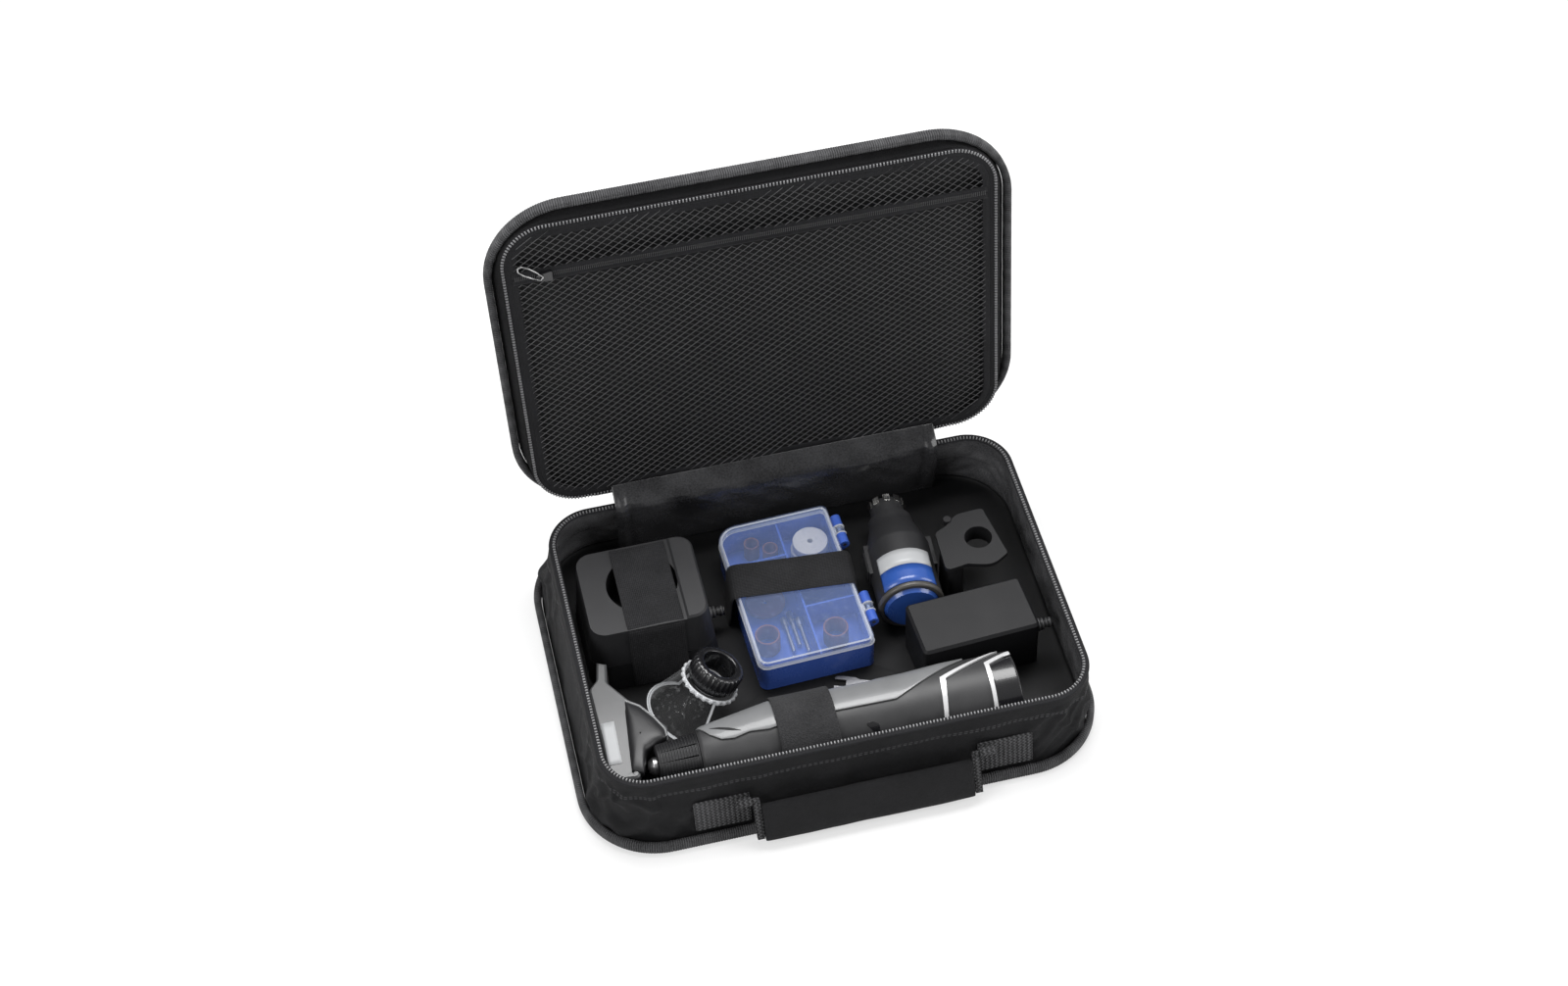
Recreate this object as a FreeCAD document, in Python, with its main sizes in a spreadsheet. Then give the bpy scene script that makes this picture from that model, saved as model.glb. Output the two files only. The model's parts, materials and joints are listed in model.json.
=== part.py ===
import FreeCAD
import Part
import math
import os
import Sketcher
from FreeCAD import Placement, Rotation, Vector

# Cordless rotary tool kit in its open zip case.
# Millimetres, +Z up, +X to the right, +Y towards the lid's hinge.
# The origin is on the case's underside, midway along the lid's hinge.

SIZES = {
    # Case base
    "rim_length": 290.0,
    "rim_depth": 210.0,
    "rim_radius": 28.0,
    "rim_height": 53.0,
    "rim_shift": 2.0,
    "foot_length": 311.0,
    "foot_depth": 240.0,
    "foot_radius": 48.0,
    "foot_shift": 3.5,
    "board_thickness": 3.0,
    "wall_thickness": 2.2,
    "liner_thickness": 0.9,
    "binding_width": 4.5,
    "binding_height": 8.5,
    "tape_width": 5.0,
    "tape_height": 2.3,
    "zip_gap": 0.3,
    # Lid
    "lid_angle": 96.2,
    "hinge_gap": 3.4,
    "lid_depth": 12.0,
    "lid_overhang": 10.0,
    "lid_radius": 50.0,
    "panel_thickness": 3.0,
    "mesh_thickness": 0.8,
    "mesh_strand": 1.3,
    "pocket_height": 175.5,
    "pocket_tape_width": 9.0,
    "gusset_width": 203.0,
    "gusset_thickness": 1.0,
    # Carrying handle
    "handle_x": 3.0,
    "handle_lean": 23.0,
    "handle_height": 31.0,
    "handle_stand_off": 6.3,
    "grip_length": 124.0,
    "grip_width": 26.0,
    "grip_thickness": 8.0,
    "webbing_thickness": 1.6,
    "tab_length": 33.0,
    "tab_height": 22.0,
    # Charger
    "charger_x": -96.0,
    "charger_y": 35.0,
    "charger_length": 80.0,
    "charger_depth": 72.0,
    "charger_draft": 9.0,
    "charger_height": 48.0,
    "charger_split": 20.0,
    "charger_radius": 14.0,
    "well_diameter": 43.0,
    "well_depth": 26.0,
    "strap_width": 35.0,
    "strap_thickness": 1.0,
    "strap_gap": 0.3,
    # Mains adapter
    "adapter_x": 91.0,
    "adapter_y": -26.5,
    "adapter_angle": 3.2,
    "adapter_length": 72.0,
    "adapter_depth": 38.5,
    "adapter_height": 36.0,
    "adapter_split": 15.0,
    "relief_diameter": 8.0,
    "relief_length": 10.0,
    "lead_diameter": 3.6,
    # Accessory box
    "box_x": -4.5,
    "box_y": 31.5,
    "box_angle": 2.2,
    "box_width": 71.0,
    "box_length": 109.0,
    "box_height": 26.0,
    "box_lid_height": 6.0,
    "box_radius": 8.0,
    "box_wall": 1.5,
    "box_strap_width": 27.0,
    "knuckle_diameter": 6.4,
    "hinge_pin_diameter": 2.4,
    "pin_clearance": 0.05,
    # Battery
    "battery_x": 61.3,
    "battery_y": 0.5,
    "battery_angle": -3.2,
    "battery_diameter": 40.0,
    "battery_length": 80.0,
    "battery_shoulder": 44.0,
    "head_diameter": 21.0,
    "head_length": 13.0,
    "button_length": 16.0,
    "button_height": 9.0,
    "button_travel": 1.5,
    # Shaping platform
    "platform_x": 109.7,
    "platform_y": 26.6,
    "platform_height": 40.0,
    "plate_thickness": 3.0,
    "platform_bore": 16.8,
    "bracket_wall": 2.5,
    # Clear guard
    "guard_tilt": 31.0,
    "guard_ring_diameter": 31.0,
    "guard_ring_height": 14.0,
    "guard_thickness": 1.6,
    "guard_reach": 30.0,
    "guard_spread": 27.0,
    "thread_diameter": 19.2,
    # Detail grip
    "detail_thickness": 31.0,
    "detail_pad_depth": 5.0,
    # Collet wrench
    "wrench_x": 28.0,
    "wrench_gap": 16.5,
    "wrench_angle": -20.6,
    "wrench_thickness": 1.6,
    # Rotary tool
    "tool_x": -111.0,
    "tool_y": -78.0,
    "tool_length": 213.0,
    "tool_diameter": 45.0,
    "butt_diameter": 47.4,
    "cap_length": 25.0,
    "cap_diameter": 28.0,
    "neck_diameter": 19.0,
    "motor_start": 66.0,
    "motor_length": 60.0,
    "motor_diameter": 35.0,
    "bay_start": 150.0,
    "bay_diameter": 31.4,
    "shaft_diameter": 5.0,
    "bearing_diameter": 16.0,
    "bearing_width": 6.0,
    "front_bearing_start": 34.0,
    "collet_bore": 3.2,
    "running_gap": 0.05,
    "part_gap": 0.3,
    "panel_skin": 1.2,
}

DOC = FreeCAD.newDocument("rotary_tool_kit")


class Size:
    """A size of the sheet, or one worked out from it, as an expression and as a number."""

    def __init__(self, text, value):
        self.text = text
        self.value = value

    def __add__(self, other):
        return Size(f"({self.text} + {text_of(other)})", self.value + value_of(other))

    def __radd__(self, other):
        return Size(f"({text_of(other)} + {self.text})", value_of(other) + self.value)

    def __sub__(self, other):
        return Size(f"({self.text} - {text_of(other)})", self.value - value_of(other))

    def __rsub__(self, other):
        return Size(f"({text_of(other)} - {self.text})", value_of(other) - self.value)

    def __mul__(self, other):
        return Size(f"({self.text} * {text_of(other)})", self.value * value_of(other))

    def __rmul__(self, other):
        return Size(f"({text_of(other)} * {self.text})", value_of(other) * self.value)

    def __truediv__(self, other):
        return Size(f"({self.text} / {text_of(other)})", self.value / value_of(other))

    def __neg__(self):
        return Size(f"(0 - {self.text})", -self.value)


def value_of(size):
    """The number behind a size."""
    return size.value if isinstance(size, Size) else float(size)


def text_of(size):
    """The expression behind a size."""
    return size.text if isinstance(size, Size) else f"{float(size):.6f}"


def make_sheet():
    """Writes the driving sizes to the sheet and returns them by name."""
    sheet = DOC.addObject("Spreadsheet::Sheet", "Sizes")
    sizes = {}
    for row, (name, number) in enumerate(SIZES.items(), start=1):
        sheet.set(f"A{row}", name)
        sheet.set(f"B{row}", str(number))
        sheet.setAlias(f"B{row}", name)
        sizes[name] = Size(f"Sizes.{name}", number)
    DOC.recompute()
    return sizes


S = make_sheet()


def bind(item, path, size):
    """Binds one property of an object to a size."""
    if isinstance(size, Size):
        item.setExpression(path, size.text)


class Outline:
    """A sketch whose points and radii are bound to sizes."""

    def __init__(self, sketch):
        self.sketch = sketch

    def hold(self, kind, *places):
        """Adds one constraint and binds its last value, where it is a size."""
        size = places[-1]
        if isinstance(size, (Size, float)):
            places = places[:-1] + (value_of(size),)
        number = self.sketch.addConstraint(Sketcher.Constraint(kind, *places))
        if isinstance(size, Size):
            self.sketch.setExpression(f"Constraints[{number}]", size.text)

    def circle(self, x, y, radius):
        """A circle about a point."""
        centre = Vector(value_of(x), value_of(y), 0)
        shape = Part.Circle(centre, Vector(0, 0, 1), value_of(radius))
        index = self.sketch.addGeometry(shape)
        self.hold("Radius", index, radius + 0.0)
        self.pin(index, 3, x, y)
        return self

    def pin(self, index, end, x, y):
        """Holds a point of the sketch at x and y."""
        self.hold("DistanceX", index, end, x + 0.0)
        self.hold("DistanceY", index, end, y + 0.0)

    def polygon(self, corners, radius=0):
        """A closed outline through corners (x, y) or (x, y, radius), each corner rounded by its radius."""
        full = [corner if len(corner) == 3 else (corner[0], corner[1], radius) for corner in corners]
        points = [Vector(value_of(x), value_of(y), 0) for x, y, _ in full]
        cuts = [corner_cut(points, i, value_of(full[i][2])) for i in range(len(full))]
        lines = []
        for i, cut in enumerate(cuts):
            start = cut[1]
            end = cuts[(i + 1) % len(cuts)][0]
            lines.append(self.sketch.addGeometry(Part.LineSegment(start, end)))
        if not any(isinstance(size, Size) for corner in full for size in corner):
            self.fix_in_place(lines, cuts)
            return self
        for i, (x, y, rounding) in enumerate(full):
            before = lines[i - 1]
            after = lines[i]
            if value_of(rounding) <= 0:
                self.hold("Coincident", before, 2, after, 1)
                self.pin(after, 1, x, y)
            else:
                self.round_corner(before, after, cuts[i], x, y, rounding)
        return self

    def fix_in_place(self, lines, cuts):
        """Fixes an outline that depends on no size where it is drawn, with its rounded corners."""
        arcs = [Part.Arc(cut[0], cut[2], cut[1]) for cut in cuts if cut[0] != cut[1]]
        for index in lines + [self.sketch.addGeometry(arc) for arc in arcs]:
            self.hold("Block", index)

    def round_corner(self, before, after, cut, x, y, radius):
        """Joins two lines with an arc whose sharp corner lies at x and y."""
        first, last, middle = cut
        arc = self.sketch.addGeometry(Part.Arc(first, middle, last))
        flipped = self.sketch.Geometry[arc].StartPoint.distanceToPoint(first) > 1e-6
        self.hold("Tangent", before, 2, arc, 2 if flipped else 1)
        self.hold("Tangent", arc, 1 if flipped else 2, after, 1)
        self.hold("Radius", arc, radius + 0.0)
        corner = self.sketch.addGeometry(Part.Point(Vector(value_of(x), value_of(y), 0)), True)
        self.hold("PointOnObject", corner, 1, before)
        self.hold("PointOnObject", corner, 1, after)
        self.pin(corner, 1, x, y)

    def box(self, x0, x1, y0, y1, radius=0):
        """A rectangle with its four corners rounded."""
        return self.polygon([(x0, y0), (x1, y0), (x1, y1), (x0, y1)], radius)


def corner_cut(points, i, radius):
    """Where a rounded corner leaves its two sides, and the middle of its arc."""
    corner = points[i]
    if radius <= 0:
        return corner, corner, corner
    to_last = (points[i - 1] - corner).normalize()
    to_next = (points[(i + 1) % len(points)] - corner).normalize()
    half = math.acos(max(-1.0, min(1.0, to_last.dot(to_next)))) / 2
    reach = radius / math.tan(half)
    inward = (to_last + to_next).normalize()
    middle = corner + inward * (radius / math.sin(half) - radius)
    return corner + to_last * reach, corner + to_next * reach, middle


class Piece:
    """One sub-part: a body with its sketches and features."""

    def __init__(self, label):
        self.body = DOC.addObject("PartDesign::Body", label)
        self.label = label

    def sketch(self, plane="XY", level=0):
        """A new sketch on one of the body's planes, lifted along the plane's normal."""
        sketch = self.body.newObject("Sketcher::SketchObject", self.label + "_sketch")
        origin = [f for f in self.body.Origin.OriginFeatures if f.Role == plane + "_Plane"][0]
        sketch.AttachmentSupport = [(origin, "")]
        sketch.MapMode = "FlatFace"
        sketch.AttachmentOffset = Placement(Vector(0, 0, value_of(level)), Rotation())
        bind(sketch, "AttachmentOffset.Base.z", level)
        return Outline(sketch)

    def extrude(self, kind, outline, length, reverse=False, middle=False):
        """Pads or pockets an outline."""
        feature = self.body.newObject("PartDesign::" + kind, self.label + "_" + kind.lower())
        feature.Profile = outline.sketch
        feature.Length = value_of(length)
        feature.Reversed = reverse
        feature.Midplane = middle
        bind(feature, "Length", length)
        return feature

    def pad(self, outline, length, reverse=False, middle=False):
        """Adds a prism."""
        return self.extrude("Pad", outline, length, reverse, middle)

    def pocket(self, outline, length, reverse=True, middle=False):
        """Takes a prism away, above its sketch unless told otherwise."""
        return self.extrude("Pocket", outline, length, reverse, middle)

    def loft(self, first, last, cut=False):
        """Adds, or takes away, the straight loft between two outlines."""
        kind = "SubtractiveLoft" if cut else "AdditiveLoft"
        feature = self.body.newObject("PartDesign::" + kind, self.label + "_loft")
        feature.Profile = first.sketch
        feature.Sections = [last.sketch]
        feature.Ruled = True
        return feature

    def turn(self, outline, cut=False, angle=360, axis="H_Axis", reverse=False):
        """Turns an outline about one of its sketch's axes."""
        kind = "Groove" if cut else "Revolution"
        feature = self.body.newObject("PartDesign::" + kind, self.label + "_turn")
        feature.Profile = outline.sketch
        feature.ReferenceAxis = (outline.sketch, [axis])
        feature.Angle = angle
        feature.Reversed = reverse
        return feature

    def repeat(self, feature, count, axis="Z"):
        """Repeats a feature round one of the body's axes."""
        pattern = self.body.newObject("PartDesign::PolarPattern", self.label + "_pattern")
        pattern.Originals = [feature]
        line = [f for f in self.body.Origin.OriginFeatures if f.Role == axis + "_Axis"][0]
        pattern.Axis = (line, [""])
        pattern.Angle = 360
        pattern.Occurrences = count
        self.body.Tip = pattern
        return pattern

    def chamfer(self, size, test):
        """Bevels the edges that pass a test."""
        DOC.recompute()
        tip = self.body.Tip
        whole = tip.Shape.BoundBox
        names = [f"Edge{i}" for i, edge in enumerate(tip.Shape.Edges, start=1) if test(edge, whole)]
        feature = self.body.newObject("PartDesign::Chamfer", self.label + "_chamfer")
        feature.Base = (tip, names)
        feature.Size = value_of(size)
        bind(feature, "Size", size)
        return feature


def at_level(level):
    """A test for edges that lie flat at one height of their body."""
    height = value_of(level)

    def test(edge, _whole):
        box = edge.BoundBox
        return abs(box.ZMin - height) < 1e-4 and abs(box.ZMax - height) < 1e-4

    return test


def outermost_at(level):
    """A test for edges at one height that touch the outside of their body."""
    flat = at_level(level)
    near = 0.05

    def test(edge, whole):
        box = edge.BoundBox
        at_x = box.XMin < whole.XMin + near or box.XMax > whole.XMax - near
        at_y = box.YMin < whole.YMin + near or box.YMax > whole.YMax - near
        return flat(edge, whole) and (at_x or at_y)

    return test


class Seat:
    """A place and a turn that the pieces of one assembly share."""

    def __init__(self, x=0, y=0, z=0, axis=(0, 0, 1), angle=0):
        self.base = (x, y, z)
        self.axis = Vector(*axis)
        self.angle = angle

    def hold(self, item):
        """Puts an object at the seat."""
        item.Placement = Placement(Vector(0, 0, 0), Rotation(self.axis, value_of(self.angle)))
        for letter, size in zip("xyz", self.base):
            item.setExpression("Placement.Base." + letter, text_of(size))
        bind(item, "Placement.Rotation.Angle", self.angle)
        return item


PARTS = []


def keep(label, item, seat=None):
    """Names a finished sub-part and puts it at its seat."""
    solid = item.body if isinstance(item, Piece) else item
    solid.Label = label
    if seat is not None:
        seat.hold(solid)
    PARTS.append(solid)
    return solid


def combine(kind, label, base, tool):
    """A boolean of two objects."""
    result = DOC.addObject("Part::" + kind, label + "_" + kind.lower())
    result.Base = base.body if isinstance(base, Piece) else base
    result.Tool = tool.body if isinstance(tool, Piece) else tool
    return result


def group(label, items):
    """Several solids under one name."""
    result = DOC.addObject("Part::Compound", label + "_group")
    result.Links = [item.body if isinstance(item, Piece) else item for item in items]
    return result


# Heights and places that several assemblies share

FLOOR = S["board_thickness"] + S["liner_thickness"] + S["part_gap"]
TAPE_BOTTOM = S["rim_height"] - S["zip_gap"] - S["tape_height"]
BOARD_LENGTH = S["foot_length"] - 2 * S["binding_width"]
BOARD_DEPTH = S["foot_depth"] - 2 * S["binding_width"]
BOARD_RADIUS = S["foot_radius"] - S["binding_width"]
FOOT_X = -S["foot_shift"]
RIM_Y = -S["rim_shift"]
RIM_FRONT = S["rim_depth"] / 2 + S["rim_shift"]
RIM_BACK = S["rim_depth"] / 2 - S["rim_shift"]

# How far the contents at the left move in when the foot is made shorter
MOVE_IN = (311.0 - S["foot_length"]) * 0.2


def centred(outline, length, depth, radius, y=0.0, x=0.0):
    """A rounded rectangle about a point."""
    return outline.box(x - length / 2, x + length / 2, y - depth / 2, y + depth / 2, radius)


FLATS = 8


def flat_cornered(outline, x, y, half_length, half_depth, radius):
    """A rounded rectangle about a point, with each corner as a run of flats.

    Two such outlines of different sizes have parallel sides, so their loft has plane faces.
    """
    corners = []
    for turn in range(4):
        right = 1 if turn in (0, 3) else -1
        back = 1 if turn < 2 else -1
        for step in range(FLATS + 1):
            angle = math.radians(90.0 * (turn + step / FLATS))
            across = x + (half_length - radius) * right + radius * math.cos(angle)
            along = y + (half_depth - radius) * back + radius * math.sin(angle)
            corners.append((across, along))
    return outline.polygon(corners)


def wall_face(height):
    """How far the outside of the base's wall stands in front of the origin at a height."""
    rise = (height - S["board_thickness"]) / (TAPE_BOTTOM - S["board_thickness"])
    return BOARD_DEPTH / 2 - (BOARD_DEPTH / 2 - RIM_FRONT) * rise


# Case base

def base_board():
    """The stiff panel under the case."""
    piece = Piece("base_board")
    outline = centred(piece.sketch(), BOARD_LENGTH, BOARD_DEPTH, BOARD_RADIUS, x=FOOT_X)
    piece.pad(outline, S["board_thickness"])
    keep("base_board", piece)


def base_binding():
    """The ribbed tape that binds the panel to the wall."""
    piece = Piece("base_binding")
    outer = centred(piece.sketch(), S["foot_length"], S["foot_depth"], S["foot_radius"], x=FOOT_X)
    piece.pad(outer, S["binding_height"])
    inner = centred(piece.sketch(), BOARD_LENGTH, BOARD_DEPTH, BOARD_RADIUS, x=FOOT_X)
    piece.pocket(inner, S["binding_height"])
    piece.chamfer(S["binding_width"] * 0.45, outermost_at(S["binding_height"]))
    keep("base_binding", piece)


def at_foot(outline, inset):
    """The wall's outline on the board, drawn in by a width."""
    half_length = BOARD_LENGTH / 2 - inset
    half_depth = BOARD_DEPTH / 2 - inset
    return flat_cornered(outline, FOOT_X, 0.0, half_length, half_depth, BOARD_RADIUS - inset)


def at_rim(outline, inset):
    """The wall's outline under the zip, drawn in by a width."""
    half_length = S["rim_length"] / 2 - inset
    half_depth = S["rim_depth"] / 2 - inset
    return flat_cornered(outline, 0.0, RIM_Y, half_length, half_depth, S["rim_radius"] - inset)


def case_shell(label, inset, thickness, floor):
    """A sloping wall round the base, inset from the outside, with a floor or without."""
    piece = Piece(label)
    low = S["board_thickness"]
    deep = inset + thickness
    piece.loft(
        at_foot(piece.sketch("XY", low), inset),
        at_rim(piece.sketch("XY", TAPE_BOTTOM), inset),
    )
    piece.loft(
        at_foot(piece.sketch("XY", low + floor), deep),
        at_rim(piece.sketch("XY", TAPE_BOTTOM), deep),
        cut=True,
    )
    keep(label, piece)


def zip_ring(label, level, y, seat=None):
    """One half of the zip, sewn round a rim."""
    piece = Piece(label)
    length = S["rim_length"]
    depth = S["rim_depth"]
    piece.pad(centred(piece.sketch("XY", level), length, depth, S["rim_radius"], y), S["tape_height"])
    width = S["tape_width"]
    inner = centred(
        piece.sketch("XY", level), length - 2 * width, depth - 2 * width, S["rim_radius"] - width, y
    )
    piece.pocket(inner, S["tape_height"])
    keep(label, piece, seat)


HANDLE_Y = -(wall_face(S["handle_height"]) + S["handle_stand_off"])
LOOP_RADIUS = 1.7
LOOP_LENGTH = 9.0


def handle_tabs():
    """Two webbing patches on the front wall that hold the handle."""
    tabs = []
    top = S["handle_height"] + S["webbing_thickness"]
    low = top - S["tab_height"]
    skin = S["webbing_thickness"]
    reach = S["grip_length"] / 2 + 5.0
    for side in (-1, 1):
        piece = Piece("handle_tab")
        start = S["handle_x"] + (reach if side > 0 else -(reach + S["tab_length"]))
        outline = piece.sketch("YZ", start)
        outline.polygon(
            [
                (-wall_face(low) - skin, low),
                (-wall_face(low), low),
                (-wall_face(top), top),
                (-wall_face(top) - skin, top),
            ]
        )
        piece.pad(outline, S["tab_length"])
        loop = piece.sketch("YZ", start if side > 0 else start + S["tab_length"] - LOOP_LENGTH)
        loop.circle(HANDLE_Y, S["handle_height"], LOOP_RADIUS + S["webbing_thickness"])
        piece.pad(loop, LOOP_LENGTH)
        web = piece.sketch("YZ", start if side > 0 else start + S["tab_length"] - LOOP_LENGTH)
        web.box(HANDLE_Y, -wall_face(top) - skin / 2, S["handle_height"], S["handle_height"] + skin)
        piece.pad(web, LOOP_LENGTH)
        bore = piece.sketch("YZ", start - 1)
        bore.circle(HANDLE_Y, S["handle_height"], LOOP_RADIUS)
        piece.pocket(bore, S["tab_length"] + 2)
        tabs.append(piece)
    keep("handle_tabs", group("handle_tabs", tabs))


# Lid

LID = Seat(
    0,
    RIM_BACK + S["hinge_gap"],
    S["rim_height"],
    (-1, 0, 0),
    S["lid_angle"],
)
LID_MIDDLE = -(S["hinge_gap"] + S["rim_depth"] / 2)
PANEL_FRONT = S["hinge_gap"] + S["rim_depth"] + S["lid_overhang"] - S["binding_width"]
PANEL_HALF = S["rim_length"] / 2 + S["lid_overhang"] - S["binding_width"]
PANEL_UNDER = S["lid_depth"] - S["panel_thickness"]
LID_BINDING_LOW = S["lid_depth"] - S["binding_height"] + 0.5
MESH_LEVEL = S["zip_gap"] + S["tape_height"] - 1.2


def panel_outline(outline, grow):
    """The lid's panel, grown outward by a width."""
    radius = S["lid_radius"] - S["binding_width"] + grow
    return outline.box(
        -PANEL_HALF - grow, PANEL_HALF + grow, -PANEL_FRONT - grow, grow - S["hinge_gap"], radius
    )


def lid_panel():
    """The stiff outer panel of the lid."""
    piece = Piece("lid_panel")
    piece.pad(panel_outline(piece.sketch("XY", PANEL_UNDER), 0), S["panel_thickness"])
    keep("lid_panel", piece, LID)


def lid_binding():
    """The ribbed tape round the lid's panel."""
    piece = Piece("lid_binding")
    low = LID_BINDING_LOW
    piece.pad(panel_outline(piece.sketch("XY", low), S["binding_width"]), S["lid_depth"] - low)
    piece.chamfer(S["binding_width"] * 0.3, at_level(S["lid_depth"]))
    piece.pocket(panel_outline(piece.sketch("XY", low), 0), S["lid_depth"] - low)
    keep("lid_binding", piece, LID)


def lid_wall():
    """The sloping side of the lid between its zip and its panel."""
    piece = Piece("lid_wall")
    low = S["zip_gap"] + S["tape_height"]
    lid_loft(piece, low, 0.0, S["part_gap"])
    lid_loft(piece, low, S["wall_thickness"], S["wall_thickness"], cut=True)
    trim = piece.sketch("XY", LID_BINDING_LOW - S["part_gap"])
    panel_outline(trim, 4 * S["binding_width"])
    panel_outline(trim, -S["part_gap"])
    piece.pocket(trim, S["lid_depth"])
    keep("lid_wall", piece, LID)


def lid_loft(piece, low, inset, panel_inset, cut=False):
    """The loft from the lid's rim to its panel, each drawn in by a width."""
    length = S["rim_length"] / 2 - inset
    depth = S["rim_depth"] / 2 - inset
    near = S["hinge_gap"] + panel_inset
    far = PANEL_FRONT - panel_inset
    radius = S["lid_radius"] - S["binding_width"] - panel_inset
    piece.loft(
        flat_cornered(
            piece.sketch("XY", low),
            0.0,
            LID_MIDDLE,
            length,
            depth,
            S["rim_radius"] - inset,
        ),
        flat_cornered(
            piece.sketch("XY", PANEL_UNDER),
            0.0,
            -(near + far) / 2,
            PANEL_HALF - panel_inset,
            (far - near) / 2,
            radius,
        ),
        cut,
    )


def net_gaps(half_x, low_y, high_y, rows, strand, level):
    """The diamond gaps of one field of the net, in rows that are offset by half a gap."""
    step_x = 2 * half_x / NET_COLUMNS
    step_y = (high_y - low_y) / rows
    gaps = []
    for row in range(rows * 2 - 1):
        shift = 0.5 if row % 2 else 0.0
        for column in range(NET_COLUMNS - row % 2):
            x = -half_x + (column + 0.5 + shift) * step_x
            y = low_y + (row + 1) * step_y / 2
            wide = step_x / 2 - strand * 0.62
            high = step_y / 2 - strand * 0.62
            corners = ((x - wide, y), (x, y - high), (x + wide, y), (x, y + high), (x - wide, y))
            gaps.append(Part.makePolygon([Vector(*corner, level) for corner in corners]))
    return gaps


NET_COLUMNS = 12
NET_ROWS = 5
NET_ROWS_ABOVE = 2
NET_HEM = 4.0


def lid_mesh():
    """The net pocket across the lid: one holed sheet, sewn to the zip tape all round."""
    width = value_of(S["tape_width"]) + 0.2
    half_x = value_of(S["rim_length"]) / 2 - width
    half_y = value_of(S["rim_depth"]) / 2 - width
    middle = value_of(LID_MIDDLE)
    corner = value_of(S["rim_radius"]) - width
    strip = -value_of(S["hinge_gap"] + S["pocket_height"])
    keep_off = value_of(S["pocket_tape_width"]) / 2
    strand = value_of(S["mesh_strand"])
    net_x = half_x - NET_HEM
    level = value_of(MESH_LEVEL)
    gaps = net_gaps(net_x, strip + keep_off, middle + half_y - NET_HEM, NET_ROWS, strand, level)
    gaps += net_gaps(net_x, middle - half_y + NET_HEM, strip - keep_off, NET_ROWS_ABOVE, strand, level)
    holes = []
    for gap in gaps:
        box = gap.BoundBox
        far_x = max(abs(box.XMin), abs(box.XMax)) - (half_x - corner)
        far_y = max(abs(box.YMin - middle), abs(box.YMax - middle)) - (half_y - corner)
        if far_x < 0 or far_y < 0 or math.hypot(far_x, far_y) < corner - 2:
            holes.append(reversed_wire(gap))
    rim = Part.makePlane(2 * half_x, 2 * half_y, Vector(-half_x, middle - half_y, level)).OuterWire
    net = Part.Face([rim] + holes).extrude(Vector(0, 0, value_of(S["mesh_thickness"])))
    upright = [edge for edge in net.Edges if is_corner_edge(edge, half_x, half_y, middle)]
    net = net.makeFillet(corner, upright)
    feature = DOC.addObject("Part::Feature", "lid_mesh_solid")
    feature.Shape = net
    print("net gaps", len(holes))
    keep("lid_mesh", feature, LID)


def reversed_wire(wire):
    """The wire run the other way, as a hole needs it."""
    turned = wire.copy()
    turned.reverse()
    return turned


def is_corner_edge(edge, half_x, half_y, middle):
    """Whether an edge is one of the sheet's four upright corners."""
    box = edge.BoundBox
    upright = box.ZLength > 0.1 and box.XLength < 1e-4 and box.YLength < 1e-4
    at_x = abs(abs(box.XMin) - half_x) < 1e-3
    at_y = abs(abs(box.YMin - middle) - half_y) < 1e-3
    return upright and at_x and at_y


POCKET_Y = -(S["hinge_gap"] + S["pocket_height"])
POCKET_HALF = S["rim_length"] / 2 - S["tape_width"] - 0.5
STRIP_THICKNESS = 0.6


def pocket_zip_tape():
    """The flat zip strip across the net."""
    piece = Piece("pocket_zip_tape")
    width = S["pocket_tape_width"]
    outline = piece.sketch("XY", MESH_LEVEL - STRIP_THICKNESS)
    outline.box(-POCKET_HALF, POCKET_HALF, POCKET_Y - width / 2, POCKET_Y + width / 2)
    piece.pad(outline, STRIP_THICKNESS)
    keep("pocket_zip_tape", piece, LID)


SLIDER_X = 24.0 - S["rim_length"] / 2
SLIDER_LENGTH = 9.0
SLIDER_HEIGHT = 2.4


def pocket_slider():
    """The slider of the pocket's zip, with the bridge that holds its puller."""
    piece = Piece("pocket_slider")
    top = MESH_LEVEL - STRIP_THICKNESS - 0.1
    outline = piece.sketch("XY", top - SLIDER_HEIGHT)
    half = SLIDER_LENGTH / 2
    outline.polygon(
        [
            (SLIDER_X - half, POCKET_Y - 2.0),
            (SLIDER_X + half, POCKET_Y - 3.4),
            (SLIDER_X + half, POCKET_Y + 3.4),
            (SLIDER_X - half, POCKET_Y + 2.0),
        ],
        0.8,
    )
    piece.pad(outline, SLIDER_HEIGHT)
    keep("pocket_slider", piece, LID)


PULLER_LENGTH = 17.0
WIRE = 1.2
WIRE_PLAY = 0.3


def pocket_puller():
    """The bent wire that pulls the slider."""
    piece = Piece("pocket_puller")
    level = MESH_LEVEL - STRIP_THICKNESS - 0.1 - SLIDER_HEIGHT - WIRE - WIRE_PLAY
    end = SLIDER_X - 1.0
    outer = piece.sketch("XY", level)
    outer.box(end - PULLER_LENGTH, end, POCKET_Y - 3.2, POCKET_Y + 3.2, 3.0)
    piece.pad(outer, WIRE)
    inner = piece.sketch("XY", level)
    inner.box(end - PULLER_LENGTH + WIRE, end - WIRE, POCKET_Y - 3.2 + WIRE, POCKET_Y + 3.2 - WIRE, 1.8)
    piece.pocket(inner, WIRE)
    keep("pocket_puller", piece, LID)


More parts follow.
